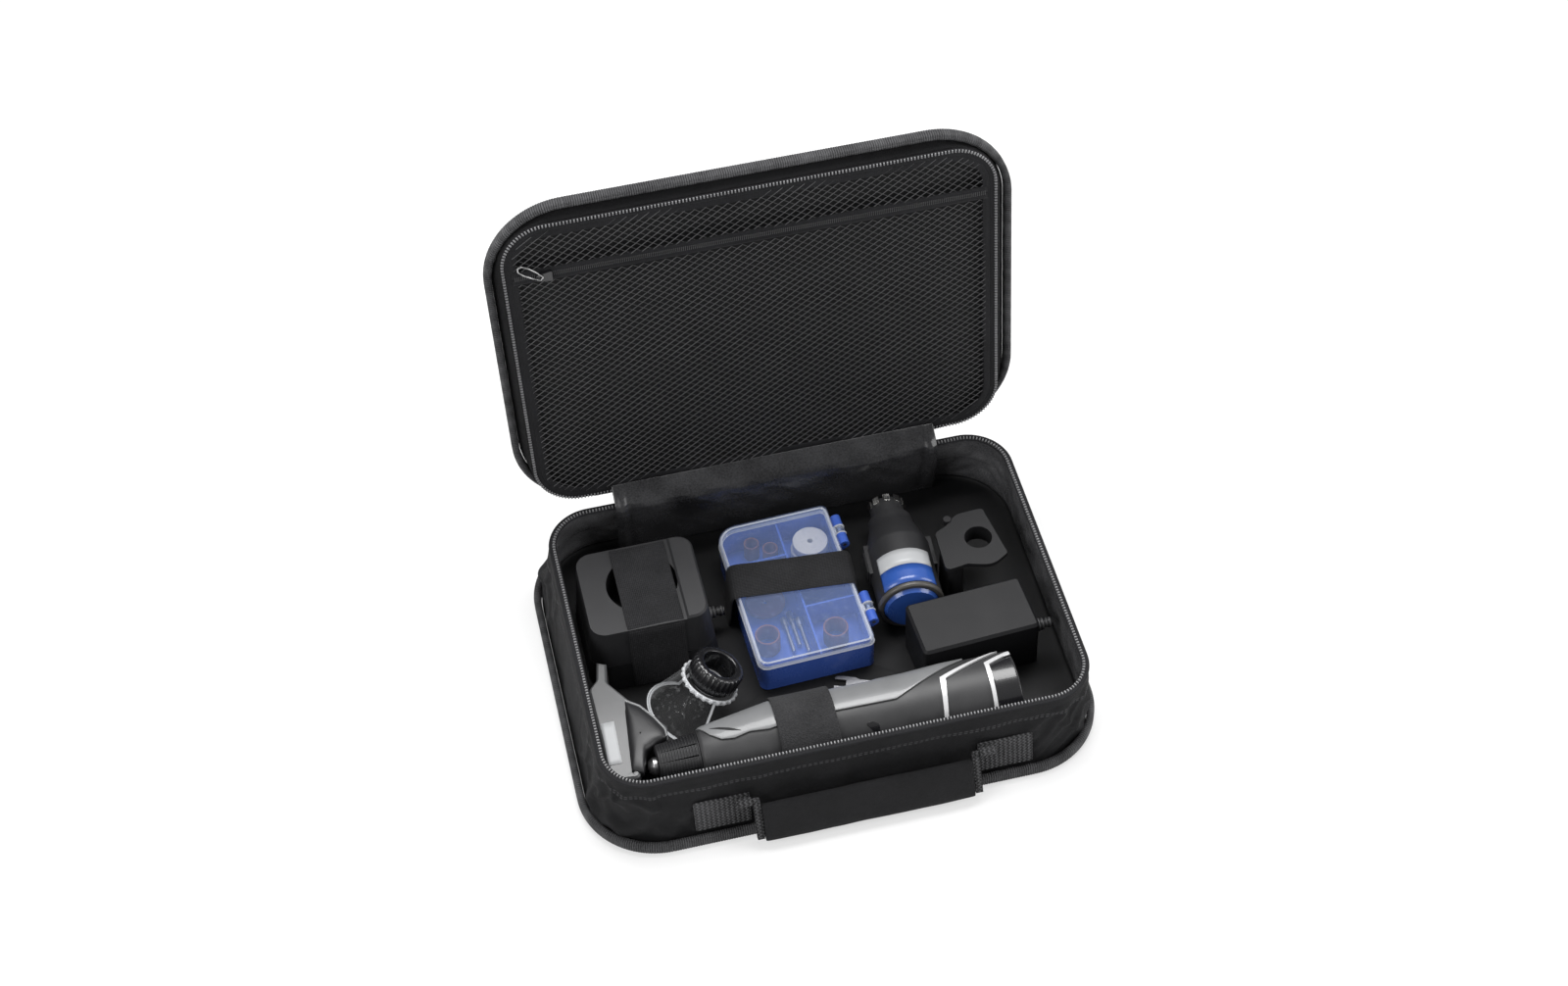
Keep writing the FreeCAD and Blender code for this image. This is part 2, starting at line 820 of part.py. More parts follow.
def hinge_gusset():
    """The cloth that joins base and lid inside the hinge."""
    piece = Piece("hinge_gusset")
    skin = S["gusset_thickness"]
    inside = RIM_BACK - S["tape_width"] - skin - 0.3
    hinge = RIM_BACK + S["hinge_gap"]
    rim = S["rim_height"]
    outline = piece.sketch("YZ", -S["gusset_width"] / 2 + 1.5)
    outline.polygon(
        [
            (inside, rim - 11),
            (inside + skin, rim - 11),
            (inside + skin, rim + 0.1),
            (hinge + 0.1, rim + 2.6),
            (hinge + 0.9, rim + 12),
            (hinge + 0.9 - skin, rim + 12),
            (hinge + 0.1 - skin, rim + 3.4),
            (inside, rim + 1.1),
        ]
    )
    piece.pad(outline, S["gusset_width"])
    keep("hinge_gusset", piece)


# Carrying handle

HANDLE = Seat(
    S["handle_x"],
    HANDLE_Y,
    S["handle_height"],
    (-1, 0, 0),
    S["handle_lean"],
)


def handle_grip():
    """The padded sleeve of the handle."""
    piece = Piece("handle_grip")
    half = S["grip_length"] / 2
    thick = S["grip_thickness"] / 2
    outline = piece.sketch("YZ", -half)
    outline.box(-thick, thick, -(S["grip_width"] + 3), -3.0, 3.0)
    piece.pad(outline, S["grip_length"])
    slot = piece.sketch("YZ", -half)
    gap = S["webbing_thickness"] / 2 + 0.2
    slot.box(-gap, gap, -(S["grip_width"] - 0.2), -5.8)
    piece.pocket(slot, S["grip_length"])
    keep("handle_grip", piece, HANDLE)


def handle_strap():
    """The webbing that runs through the sleeve and up to the tabs."""
    piece = Piece("handle_strap")
    half = S["grip_length"] / 2
    outline = piece.sketch("XZ")
    low = -(S["grip_width"] - 0.4)
    outline.polygon(
        [
            (-half - 4.5, low),
            (half + 4.5, low),
            (half + 4.5, 0.8),
            (half + 0.4, 0.8),
            (half + 0.4, -6.0),
            (-half - 0.4, -6.0),
            (-half - 0.4, 0.8),
            (-half - 4.5, 0.8),
        ]
    )
    piece.pad(outline, S["webbing_thickness"], middle=True)
    for start in (-half - 5.0 - LOOP_LENGTH, half + 0.4):
        roll = piece.sketch("YZ", start)
        roll.circle(0.0, 0.0, LOOP_RADIUS - 0.1)
        piece.pad(roll, LOOP_LENGTH + 4.6)
    keep("handle_strap", piece, HANDLE)


# Straps over the contents

def arch(label, plane, start, width, inner, thickness, seat=None):
    """A strap that goes up one side, over the top and down the other."""
    piece = Piece(label)
    low_near, low_far, top_near, top_far, floor, top = inner
    skin = thickness
    outline = piece.sketch(plane, start)
    outline.polygon(
        [
            (low_near - skin, floor),
            (low_near, floor),
            (top_near, top),
            (top_far, top),
            (low_far, floor),
            (low_far + skin, floor),
            (top_far + skin, top + skin, 3.0),
            (top_near - skin, top + skin, 3.0),
        ]
    )
    piece.pad(outline, width)
    keep(label, piece, seat)


def charger_strap():
    """The elastic band over the charger."""
    gap = S["strap_gap"]
    half = S["charger_depth"] / 2 + gap
    top_half = half - S["charger_draft"] / 2 + 0.5
    middle = S["charger_y"]
    inner = (
        middle - half,
        middle + half,
        middle - top_half,
        middle + top_half,
        FLOOR,
        FLOOR + S["charger_height"] + gap,
    )
    start = S["charger_x"] - S["strap_width"] / 2 + 2.5
    arch("charger_strap", "YZ", start, S["strap_width"], inner, S["strap_thickness"])


def box_strap():
    """The elastic band over the accessory box."""
    gap = S["strap_gap"]
    half = S["box_width"] / 2 + gap + 1.2
    top_half = half
    height = S["box_height"] + gap
    seat = Seat(S["box_x"], S["box_y"] + 6.5, FLOOR, (0, 0, 1), S["box_angle"] - 7)
    slack = 4.0
    inner = (-half - slack, half + slack, -top_half - 1.0, top_half + 1.0, 0.0, height)
    arch("box_strap", "XZ", -S["box_strap_width"] / 2, S["box_strap_width"], inner, S["strap_thickness"], seat)


def tool_strap():
    """The hook-and-loop band round the tool."""
    piece = Piece("tool_strap")
    radius = S["tool_diameter"] / 2 + S["panel_skin"] + 0.6
    skin = S["strap_thickness"]
    width = S["strap_width"] + 1
    middle = S["tool_y"]
    start = TOOL_X + 69.5
    outline = piece.sketch("YZ", start)
    outline.circle(middle, TOOL_AXIS, radius + skin)
    piece.pad(outline, width)
    legs = piece.sketch("YZ", start)
    legs.box(middle - radius - skin, middle + radius + skin, FLOOR, TOOL_AXIS)
    piece.pad(legs, width)
    bore = piece.sketch("YZ", start)
    bore.circle(middle, TOOL_AXIS, radius)
    piece.pocket(bore, width)
    gap = piece.sketch("YZ", start)
    gap.box(middle - radius, middle + radius, TOOL_AXIS - radius - 3 * skin, TOOL_AXIS)
    piece.pocket(gap, width)
    keep("tool_strap", piece)


# Charger

CHARGER = Seat(S["charger_x"], S["charger_y"], FLOOR)
RELIEF_X = S["charger_length"] / 2 - 2.3
RELIEF_Y = -5.0
RELIEF_Z = 15.0


def charger_section(outline, inset):
    """The charger's outline, drawn in by a width."""
    return centred(
        outline, S["charger_length"] - 2 * inset, S["charger_depth"] - 2 * inset, S["charger_radius"] - inset
    )


def drawn_in(height):
    """How much narrower one side of the charger is at a height."""
    return S["charger_draft"] / 2 / S["charger_height"] * height


def tapered(piece, low, high):
    """A block of the charger between two heights, narrowing upward."""
    block = piece.pad(charger_section(piece.sketch("XY", low), drawn_in(low)), high - low)
    slope = value_of(S["charger_draft"] / 2 / S["charger_height"])
    block.TaperAngle = -math.degrees(math.atan(slope))
    lean = "atan(Sizes.charger_draft / 2 / Sizes.charger_height)"
    block.setExpression("TaperAngle", f"-1 * {lean}")


def charger_base():
    """The lower shell of the charger, with a round seat for the cord's relief."""
    piece = Piece("charger_base")
    split = S["charger_split"]
    tapered(piece, 0.0, split)
    piece.pocket(charger_section(piece.sketch("XY", 2.5), 4.5), split)
    seat = piece.sketch("YZ", RELIEF_X - 0.1)
    seat.circle(RELIEF_Y, RELIEF_Z, S["relief_diameter"] / 2 + 0.1)
    piece.pocket(seat, S["charger_draft"])
    keep("charger_base", piece, CHARGER)


def charger_cover():
    """The upper shell of the charger, with the battery well and the raised rail."""
    piece = Piece("charger_cover")
    split = S["charger_split"] + 0.4
    top = S["charger_height"]
    tapered(piece, split, top)
    piece.pocket(charger_section(piece.sketch("XY", split), drawn_in(split) + 2.5), top - split - 3.0)
    boss = piece.sketch("XY", split)
    boss.circle(0.5, 2.0, S["well_diameter"] / 2 + 2)
    piece.pad(boss, top - split)
    well = piece.sketch("XY", top - S["well_depth"])
    well.circle(0.5, 2.0, S["well_diameter"] / 2)
    piece.pocket(well, S["well_depth"])
    rail = piece.sketch("XY", top)
    draft = drawn_in(top)
    half_length = S["charger_length"] / 2 - draft
    half_depth = S["charger_depth"] / 2 - draft
    rail.polygon(
        [
            (21.5, -half_depth),
            (half_length, -half_depth, S["charger_radius"] - draft),
            (half_length, half_depth, S["charger_radius"] - draft),
            (21.5, half_depth),
        ]
    )
    piece.pad(rail, 1.5)
    piece.chamfer(1.2, at_level(top + 1.5))
    keep("charger_cover", piece, CHARGER)


def charger_contacts():
    """Two spring strips at the bottom of the battery well."""
    strips = []
    for side in (-1, 1):
        piece = Piece("charger_contact")
        outline = piece.sketch("XY", S["charger_height"] - S["well_depth"])
        outline.box(0.5 + side * 6 - 1.5, 0.5 + side * 6 + 1.5, -6.0, 10.0)
        piece.pad(outline, 1.0)
        strips.append(piece)
    keep("charger_contacts", group("charger_contacts", strips), CHARGER)


def cord_relief(label, seat, start, y, z):
    """A ribbed, tapered sleeve where the lead leaves a housing."""
    piece = Piece(label)
    wide = S["relief_diameter"] / 2
    tip = wide * 0.72
    bore = S["lead_diameter"] / 2
    length = S["relief_length"]
    groove = start + length * 0.45
    rib = wide - (wide - tip) * 0.45
    outline = piece.sketch("XY")
    outline.polygon(
        [
            (start, bore),
            (start, wide),
            (groove, rib),
            (groove, rib - 1.0),
            (groove + length * 0.2, rib - 1.0),
            (groove + length * 0.2, tip + 0.3),
            (start + length, tip),
            (start + length, bore),
        ]
    )
    piece.turn(outline)
    part = keep(label, piece)
    shifted = Seat(seat.base[0], seat.base[1], seat.base[2], tuple(seat.axis), seat.angle)
    shifted.base = (
        seat.base[0] - y * math.sin(math.radians(value_of(seat.angle))),
        seat.base[1] + y * math.cos(math.radians(value_of(seat.angle))),
        seat.base[2] + z,
    )
    shifted.hold(part)


# Mains adapter

ADAPTER = Seat(S["adapter_x"], S["adapter_y"], FLOOR, (0, 0, 1), S["adapter_angle"])


def adapter_base():
    """The lower shell of the adapter."""
    piece = Piece("adapter_base")
    piece.pad(centred(piece.sketch(), S["adapter_length"], S["adapter_depth"], 3.0), S["adapter_split"])
    keep("adapter_base", piece, ADAPTER)


def adapter_cover():
    """The upper shell of the adapter, with bevelled edges."""
    piece = Piece("adapter_cover")
    low = S["adapter_split"] + 0.2
    top = S["adapter_height"]
    piece.pad(centred(piece.sketch("XY", low), S["adapter_length"], S["adapter_depth"], 3.0), top - low)
    piece.chamfer(1.6, at_level(top))
    keep("adapter_cover", piece, ADAPTER)


# Accessory box

BOX = Seat(S["box_x"], S["box_y"], FLOOR, (0, 0, 1), S["box_angle"])
TRAY_TOP = S["box_height"] - S["box_lid_height"] - 0.2
HINGE_X = S["box_width"] / 2 + S["knuckle_diameter"] / 2 + 0.3
HINGE_Z = TRAY_TOP + 1.6
HINGE_STARTS = (-39.5, 23.0)
KNUCKLE_BLUE = 8.0
KNUCKLE_CLEAR = 6.4


def box_outline(outline, inset):
    """The box's outline, drawn in by a width, with its two left corners rounder."""
    half_width = S["box_width"] / 2 - inset
    half_length = S["box_length"] / 2 - inset
    small = S["box_radius"] / 2 - inset / 2
    large = S["box_radius"] * 1.6 - inset
    return outline.polygon(
        [
            (-half_width, -half_length, small + 1.5),
            (half_width, -half_length, small),
            (half_width, half_length, small),
            (-half_width, half_length, large),
        ]
    )


def knuckle(piece, start, length):
    """One hinge barrel with its web to the box, drilled for the pin."""
    radius = S["knuckle_diameter"] / 2
    barrel = piece.sketch("XZ", -(start + length))
    barrel.circle(HINGE_X, HINGE_Z, radius)
    piece.pad(barrel, length)
    web = piece.sketch("XZ", -(start + length))
    side = S["box_width"] / 2 - 0.5
    if piece.label == "box_tray":
        web.box(side, HINGE_X, TRAY_TOP - 2.6, TRAY_TOP - 0.2)
    else:
        web.box(side, HINGE_X, TRAY_TOP + 0.4, TRAY_TOP + 3.0)
    piece.pad(web, length)


def drill_hinges(piece, radius):
    """The pin holes through a part's barrels."""
    for start in HINGE_STARTS:
        length = 2 * KNUCKLE_BLUE + KNUCKLE_CLEAR
        hole = piece.sketch("XZ", -(start + length + 1))
        hole.circle(HINGE_X, HINGE_Z, radius)
        piece.pocket(hole, length + 2)


def box_tray():
    """The blue tray with its dividers and outer hinge barrels."""
    piece = Piece("box_tray")
    wall = S["box_wall"]
    piece.pad(box_outline(piece.sketch(), 0), TRAY_TOP)
    piece.pocket(box_outline(piece.sketch("XY", wall), wall), TRAY_TOP)
    half_width = S["box_width"] / 2 - wall * 0.5
    half_length = S["box_length"] / 2 - wall * 0.5
    spine = 3.0
    for low_x, high_x, low_y, high_y in (
        (spine - 0.6, spine + 0.6, -half_length, half_length),
        (-half_width, spine, 27.4, 28.6),
        (spine, half_width, -15.1, -13.9),
    ):
        divider = piece.sketch()
        divider.box(low_x, high_x, low_y, high_y)
        piece.pad(divider, TRAY_TOP - 0.6)
    for start in HINGE_STARTS:
        knuckle(piece, start, KNUCKLE_BLUE)
        knuckle(piece, start + KNUCKLE_BLUE + KNUCKLE_CLEAR, KNUCKLE_BLUE)
    drill_hinges(piece, S["hinge_pin_diameter"] / 2)
    keep("box_tray", piece, BOX)


def box_lid():
    """The clear lid, with the lip that closes on the tray and the middle hinge barrels."""
    piece = Piece("box_lid")
    low = TRAY_TOP + 0.2
    wall = S["box_wall"]
    piece.pad(box_outline(piece.sketch("XY", low), 0), S["box_lid_height"])
    piece.pocket(box_outline(piece.sketch("XY", low), wall), S["box_lid_height"] - wall)
    for start in HINGE_STARTS:
        knuckle(piece, start + KNUCKLE_BLUE + 0.2, KNUCKLE_CLEAR - 0.4)
    drill_hinges(piece, S["hinge_pin_diameter"] / 2 + S["pin_clearance"])
    piece.chamfer(0.9, at_level(S["box_height"]))
    keep("box_lid", piece, BOX)


def box_hinge_pins():
    """The two pins of the box's hinges."""
    pins = []
    for start in HINGE_STARTS:
        piece = Piece("box_hinge_pin")
        length = 2 * KNUCKLE_BLUE + KNUCKLE_CLEAR
        outline = piece.sketch("XZ", -(start + length))
        outline.circle(HINGE_X, HINGE_Z, S["hinge_pin_diameter"] / 2)
        piece.pad(outline, length)
        pins.append(piece)
    keep("box_hinge_pins", group("box_hinge_pins", pins), BOX)


def tube(x, y, radius, bore, low, height):
    """An upright tube in the box."""
    piece = Piece("tube")
    outline = piece.sketch("XY", low)
    outline.circle(x, y, radius)
    outline.circle(x, y, bore)
    piece.pad(outline, height)
    return piece


def box_contents():
    """Sanding bands, felt wheels, cutting discs and mandrels, each in its own compartment."""
    floor = S["box_wall"] + 0.1
    bands = [
        tube(-14.5, 47.0, 4.8, 3.9, floor, 12.0),
        tube(-4.2, 40.2, 4.8, 3.9, floor, 12.0),
        tube(17.5, -31.0, 7.6, 6.6, floor, 13.0),
        tube(-23.5, -25.0, 7.6, 6.6, floor, 13.0),
    ]
    keep("sanding_bands", group("sanding_bands", bands), BOX)
    wheels = [
        tube(19.5, 38.0, 11.0, 1.6, floor, 6.0),
        tube(21.0, 38.6, 11.0, 1.6, floor + 6.1, 6.0),
    ]
    keep("felt_wheels", group("felt_wheels", wheels), BOX)
    discs = [
        tube(-17.0, 8.0, 12.0, 1.6, floor, 1.4),
        tube(-16.4, 7.2, 12.0, 1.6, floor + 1.5, 1.4),
    ]
    keep("cutting_discs", group("cutting_discs", discs), BOX)


MANDRELS = ((-5.0, -20.0), (-9.6, -23.5), (-0.8, -26.0))


def mandrels():
    """Shanked bits that lie in the front left compartment."""
    bits = []
    for x, y in MANDRELS:
        piece = Piece("mandrel")
        bits.append(piece)
        shank = piece.sketch("XZ", -(y + 15.0))
        height = S["box_wall"] + 2.6
        shank.circle(x, height, 1.2)
        piece.pad(shank, 26.0)
        head = piece.sketch("XZ", -(y + 15.0))
        head.circle(x, height, 2.0)
        piece.pad(head, 6.0)
    keep("mandrels", group("mandrels", bits), BOX)


# Battery

BATTERY = Seat(
    S["battery_x"],
    S["battery_y"],
    FLOOR + S["battery_diameter"] / 2,
    (0, 0, 1),
    S["battery_angle"],
)
BATTERY_RADIUS = S["battery_diameter"] / 2
NECK = 13.6
BUTTON_START = 27.0


def battery_case():
    """The battery's housing: a barrel that narrows to a stem, with a boss for each release button."""
    piece = Piece("battery_case")
    outline = piece.sketch("XY")
    head = S["head_diameter"] / 2
    shoulder = S["battery_shoulder"]
    end = S["battery_length"]
    stem = end - S["head_length"]
    outline.polygon(
        [
            (0.0, 3.2),
            (BATTERY_RADIUS, 3.2),
            (BATTERY_RADIUS, shoulder - 2),
            (BATTERY_RADIUS - 2.2, shoulder + 6.0),
            (NECK + 0.6, stem - 6.0),
            (NECK, stem),
            (head, stem + 1.0),
            (head, end - 1.2),
            (head - 1.2, end),
            (0.0, end),
        ]
    )
    piece.turn(outline, axis="V_Axis")
    boss = piece.sketch("XZ", -(BUTTON_START + S["button_length"] + 3.0))
    half = BATTERY_RADIUS + 0.9
    boss.box(-half, half, -S["button_height"] / 2 - 2.5, S["button_height"] / 2 + 2.5)
    piece.pad(boss, S["button_length"] + 6)
    for side in (-1, 1):
        slot = piece.sketch("XZ", 0.3 - BUTTON_START)
        depth = half - S["button_travel"] - 3.5
        low_x = depth if side > 0 else -(half + 1)
        high_x = half + 1 if side > 0 else -depth
        slot.box(low_x, high_x, -S["button_height"] / 2 - 0.3, S["button_height"] / 2 + 0.3)
        piece.pocket(slot, S["button_length"] + 0.6, reverse=False)
    keep("battery_case", piece, BATTERY)


def release_button(label, side):
    """One of the two buttons that let go of the battery."""
    piece = Piece(label)
    half = BATTERY_RADIUS + 0.9
    root = half - 3.2
    face = half + 0.6
    outline = piece.sketch("XZ", -BUTTON_START)
    low_x = root if side > 0 else -face
    high_x = face if side > 0 else -root
    outline.box(low_x, high_x, -S["button_height"] / 2, S["button_height"] / 2, 0.5)
    piece.pad(outline, S["button_length"], reverse=True)
    keep(label, piece, BATTERY)


def battery_ring():
    """The ring round the battery's end."""
    piece = Piece("battery_ring")
    outline = piece.sketch("XY")
    outline.polygon(
        [
            (BATTERY_RADIUS - 3.0, 0.0),
            (BATTERY_RADIUS - 0.8, 0.0),
            (BATTERY_RADIUS + 0.2, 1.0),
            (BATTERY_RADIUS + 0.2, 3.0),
            (BATTERY_RADIUS - 3.0, 3.0),
        ]
    )
    piece.turn(outline, axis="V_Axis")
    keep("battery_ring", piece, BATTERY)


def battery_end_cap():
    """The blue cap inside the ring, slightly domed."""
    piece = Piece("battery_end_cap")
    outline = piece.sketch("XY")
    edge = BATTERY_RADIUS - 3.2
    outline.polygon([(0.0, -1.8), (edge - 1.5, -1.8), (edge, 0.4), (edge, 3.0), (0.0, 3.0)])
    piece.turn(outline, axis="V_Axis")
    keep("battery_end_cap", piece, BATTERY)


def battery_contacts():
    """The bright contact blades round the stem's end."""
    blades = []
    for angle in (-70, -35, 0, 35, 70):
        block = DOC.addObject("Part::Box", "battery_contact")
        block.Length = 4.2
        block.Width = 5.0
        block.Height = 1.0
        turn = Rotation(Vector(0, 1, 0), angle)
        radius = value_of(S["head_diameter"]) / 2 + 0.05
        start = turn.multVec(Vector(-2.1, 0, radius))
        block.Placement = Placement(
            Vector(start.x, value_of(S["battery_length"]) - 4.4, start.z), turn
        )
        block.setExpression("Placement.Base.y", (S["battery_length"] - 4.4).text)
        blades.append(block)
    keep("battery_contacts", group("battery_contacts", blades), BATTERY)


# Shaping platform

PLATFORM = Seat(S["platform_x"], S["platform_y"], FLOOR)


def platform_outline(outline):
    """The plate's outline round its bore."""
    return outline.polygon(
        [
            (-24.4, 9.6, 3.0),
            (-16.5, 13.4, 3.0),
            (-8.5, 20.6, 6.0),
            (8.4, 21.6, 2.0),
            (13.9, -16.0, 2.0),
            (3.0, -22.6, 12.0),
            (-11.9, -18.2, 4.0),
            (-25.4, -20.1, 3.0),
        ]
    )


def shaping_platform():
    """The flat plate with the bore that goes over the tool's nose, on its walled foot."""
    piece = Piece("shaping_platform")
    top = S["platform_height"]
    low = top - S["plate_thickness"]
    piece.pad(platform_outline(piece.sketch("XY", low)), S["plate_thickness"])
    nub = piece.sketch("XY", low)
    nub.circle(-14.8, 17.4, 2.4)
    piece.pad(nub, S["plate_thickness"] + 1.5)
    collar = piece.sketch("XY", low)
    collar.circle(0.0, 0.0, S["platform_bore"] / 2 + 3)
    piece.pad(collar, 9.0, reverse=True)
    bore = piece.sketch("XY", low - 10)
    bore.circle(0.0, 0.0, S["platform_bore"] / 2)
    piece.pocket(bore, S["plate_thickness"] + 12)
    platform_foot(piece, low)
    keep("shaping_platform", piece, PLATFORM)


def platform_foot(piece, height):
    """The walled foot that carries the plate."""
    wall = S["bracket_wall"]
    outer = piece.sketch()
    outer.polygon([(-22.9, 6.0, 3.0), (-12.8, 10.6, 3.0), (-12.8, -16.0, 3.0), (-22.4, -17.4, 3.0)])
    piece.pad(outer, height)
    inner = piece.sketch("XY", 2.5)
    inner.polygon(
        [
            (-22.9 + wall, 6.0 - wall * 0.6),
            (-12.8 - wall, 10.6 - wall * 1.4),
            (-12.8 - wall, -16.0 + wall),
            (-22.4 + wall + 0.4, -17.4 + wall),
        ]
    )
    piece.pocket(inner, height - 2.5)


# Clear guard

GUARD = Seat(-69.0, -29.5, 32.6, (-0.19, 0.98, 0), S["guard_tilt"])


def guard_ring():
    """The ribbed, threaded ring of the guard."""
    piece = Piece("guard_ring")
    radius = S["guard_ring_diameter"] / 2
    outline = piece.sketch("XZ")
    bore = S["thread_diameter"] / 2
    height = S["guard_ring_height"]
    outline.polygon(
        [
            (bore, 0.3),
            (radius - 1.2, 0.3),
            (radius - 1.2, 2.0),
            (radius, 3.0),
            (radius, height - 1.2),
            (radius - 1.2, height),
            (bore, height),
        ]
    )
    piece.turn(outline, axis="V_Axis")
    rib = piece.sketch("XY", 3.4)
    rib.box(radius - 0.8, radius + 1, -0.8, 0.8)
    groove = piece.pocket(rib, height - 5.4)
    piece.repeat(groove, 12)
    keep("guard_ring", piece, GUARD)


def guard_shield():
    """The clear half cone with the collar that turns under the ring."""
    piece = Piece("guard_shield")
    radius = S["guard_ring_diameter"] / 2
    bore = S["thread_diameter"] / 2
    skin = S["guard_thickness"]
    reach = S["guard_reach"]
    spread = S["guard_spread"]
    collar = piece.sketch("XZ")
    collar.polygon([(bore, -3.0), (radius + 1.4, -3.0), (radius + 1.4, 0.0), (bore, 0.0)])
    piece.turn(collar, axis="V_Axis")
    cone = piece.sketch("YZ")
    cone.polygon(
        [
            (radius + 1.4 - skin, -2.0),
            (radius + 1.4, -2.0),
            (spread, -reach),
            (spread - skin, -reach),
        ]
    )
    piece.turn(cone, axis="V_Axis", angle=180)
    keep("guard_shield", piece, GUARD)


# Detail grip

DETAIL = Seat(MOVE_IN, 0, FLOOR)


def detail_outline(outline):
    """The grip's side view, from its slim tip to the ring end."""
    return outline.polygon(
        [
            (-131.6, -1.4),
            (-126.2, -3.8),
            (-128.4, -17.0, 4.0),
            (-114.5, -38.6, 30.0),
            (-99.0, -58.0, 6.0),
            (-103.5, -64.0, 3.0),
            (-119.0, -61.0, 8.0),
            (-122.0, -88.0, 3.0),
            (-138.5, -86.0, 6.0),
            (-139.6, -20.0, 5.0),
            (-134.0, -14.0, 3.0),
        ]
    )


def grip_shell():
    """The light shell of the grip, hollowed for its pad and bored for the tool's nose."""
    piece = Piece("grip_shell")
    piece.pad(detail_outline(piece.sketch()), S["detail_thickness"])
    piece.chamfer(1.2, at_level(S["detail_thickness"]))
    recess = piece.sketch("XY", S["detail_thickness"] - S["detail_pad_depth"])
    detail_pad_outline(recess, 0)
    piece.pocket(recess, S["detail_pad_depth"] + 1)
    bore = piece.sketch("XZ", 70.0)
    bore.circle(-129.8, S["detail_thickness"] / 2 - 2, 6.2)
    piece.pocket(bore, 20.0, reverse=True)
    keep("grip_shell", piece, DETAIL)


def detail_pad_outline(outline, inset):
    """The outline of the rubber pad, drawn in by a gap."""
    return outline.polygon(
        [
            (-121.6 + inset, -37.0 - inset, 2.0),
            (-114.0 - inset, -43.0 - inset, 3.0),
            (-102.6 - inset, -58.6, 2.0),
            (-119.6, -58.0 + inset, 2.0),
            (-124.6 - inset, -84.0 + inset, 1.0),
            (-126.4 + inset, -84.0 + inset, 0.6),
        ]
    )


def grip_pad():
    """The rubber pad under the fingers."""
    piece = Piece("grip_pad")
    low = S["detail_thickness"] - S["detail_pad_depth"] + 0.1
    piece.pad(detail_pad_outline(piece.sketch("XY", low), 0.15), S["detail_pad_depth"] - 0.6)
    keep("grip_pad", piece, DETAIL)


# Rotary tool

TOOL_X = S["tool_x"] + MOVE_IN
TOOL_AXIS = FLOOR + S["butt_diameter"] / 2 + 0.2
TOOL = Seat(TOOL_X, S["tool_y"], TOOL_AXIS)
BODY_RADIUS = S["tool_diameter"] / 2
BUTT_RADIUS = S["butt_diameter"] / 2
NECK_RADIUS = S["neck_diameter"] / 2
SEAM = 0.1


def outer_points(grow):
    """The housing's outer profile from the cap to the butt, grown by a skin."""
    cap = S["cap_length"]
    return [
        (cap + 0.4, S["cap_diameter"] / 2 + grow),
        (cap + 2.5, S["cap_diameter"] / 2 + 1.8 + grow),
        (cap + 44, BODY_RADIUS + grow),
        (S["bay_start"], BODY_RADIUS + grow),
        (S["bay_start"] + 22, BUTT_RADIUS + grow),
        (S["tool_length"], BUTT_RADIUS + grow),
    ]


def inner_points():
    """The housing's inside, from the butt forward: bay, motor room, bearing seats and neck."""
    bay = S["bay_diameter"] / 2
    bay_start = S["bay_start"]
    motor_end = S["motor_start"] + S["motor_length"]
    motor = S["motor_diameter"] / 2 + 0.2
    seat = S["bearing_diameter"] / 2
    front = S["front_bearing_start"]
    rear = motor_end + 2.0
    return [
        (S["tool_length"], bay),
        (bay_start, bay),
        (bay_start, 15.0),
        (rear + S["bearing_width"], 15.0),
        (rear + S["bearing_width"], seat),
        (rear, seat),
        (rear, 9.0),
        (motor_end, 9.0),
        (motor_end, motor),
        (S["motor_start"] - 2, motor),
        (front + S["bearing_width"], 11.0),
        (front + S["bearing_width"], seat),
        (front, seat),
        (front, 6.0),
        (12.0, 6.0),
        (12.0, NECK_RADIUS),
        (S["cap_length"] + 0.4, NECK_RADIUS),
    ]


def tool_shell(label, upper):
    """One half of the housing, split along the tool's length."""
    piece = Piece(label)
    outline = piece.sketch("XY")
    outline.polygon(outer_points(0) + inner_points())
    piece.turn(outline, angle=180, reverse=not upper)
    switch = piece.sketch("XZ", -(BODY_RADIUS - 3.6))
    switch.box(104.0, 132.0, -5.4, 5.4)
    piece.pocket(switch, 8.0, reverse=False)
    lock = piece.sketch("XZ", -14.0)
    lock.box(42.0, 50.4, -4.2, 4.2)
    piece.pocket(lock, 12.0, reverse=False)
    slots = piece.sketch("XZ", BODY_RADIUS - 3.0)
    for start in (30.0, 129.0):
        slots.box(start, start + 3.4, 3.0, 12.0)
    piece.pocket(slots, 6.0, reverse=False)
    keep(label, piece, TOOL)


def skin_part(label, thickness, outlines):
    """A thin shell on the housing, cut to the given outlines seen from above."""
    shell = Piece(label + "_skin")
    ring = shell.sketch("XY")
    inner = outer_points(0.02)[1:]
    outer = outer_points(thickness)[1:]
    ring.polygon(inner + outer[::-1])
    shell.turn(ring, angle=180)
    cutter = Piece(label + "_cutter")
    for outline in outlines:
        sketch = cutter.sketch("XY", 4.0)
        sketch.polygon(outline)
        cutter.pad(sketch, 40.0)
    keep(label, combine("Common", label, shell, cutter), TOOL)


def tool_side_panel():
    """The light wing-shaped panel on the side that faces up."""
    wing = [
        (40.0, 4.0, 3.0),
        (70.0, 14.4, 20.0),
        (130.0, 15.2),
        (134.0, 17.0),
        (186.0, 17.6),
        (179.0, 14.0),
        (151.0, -2.2, 6.0),
        (66.0, -3.4, 30.0),
    ]
    skin_part("tool_side_panel", S["panel_skin"], [wing])


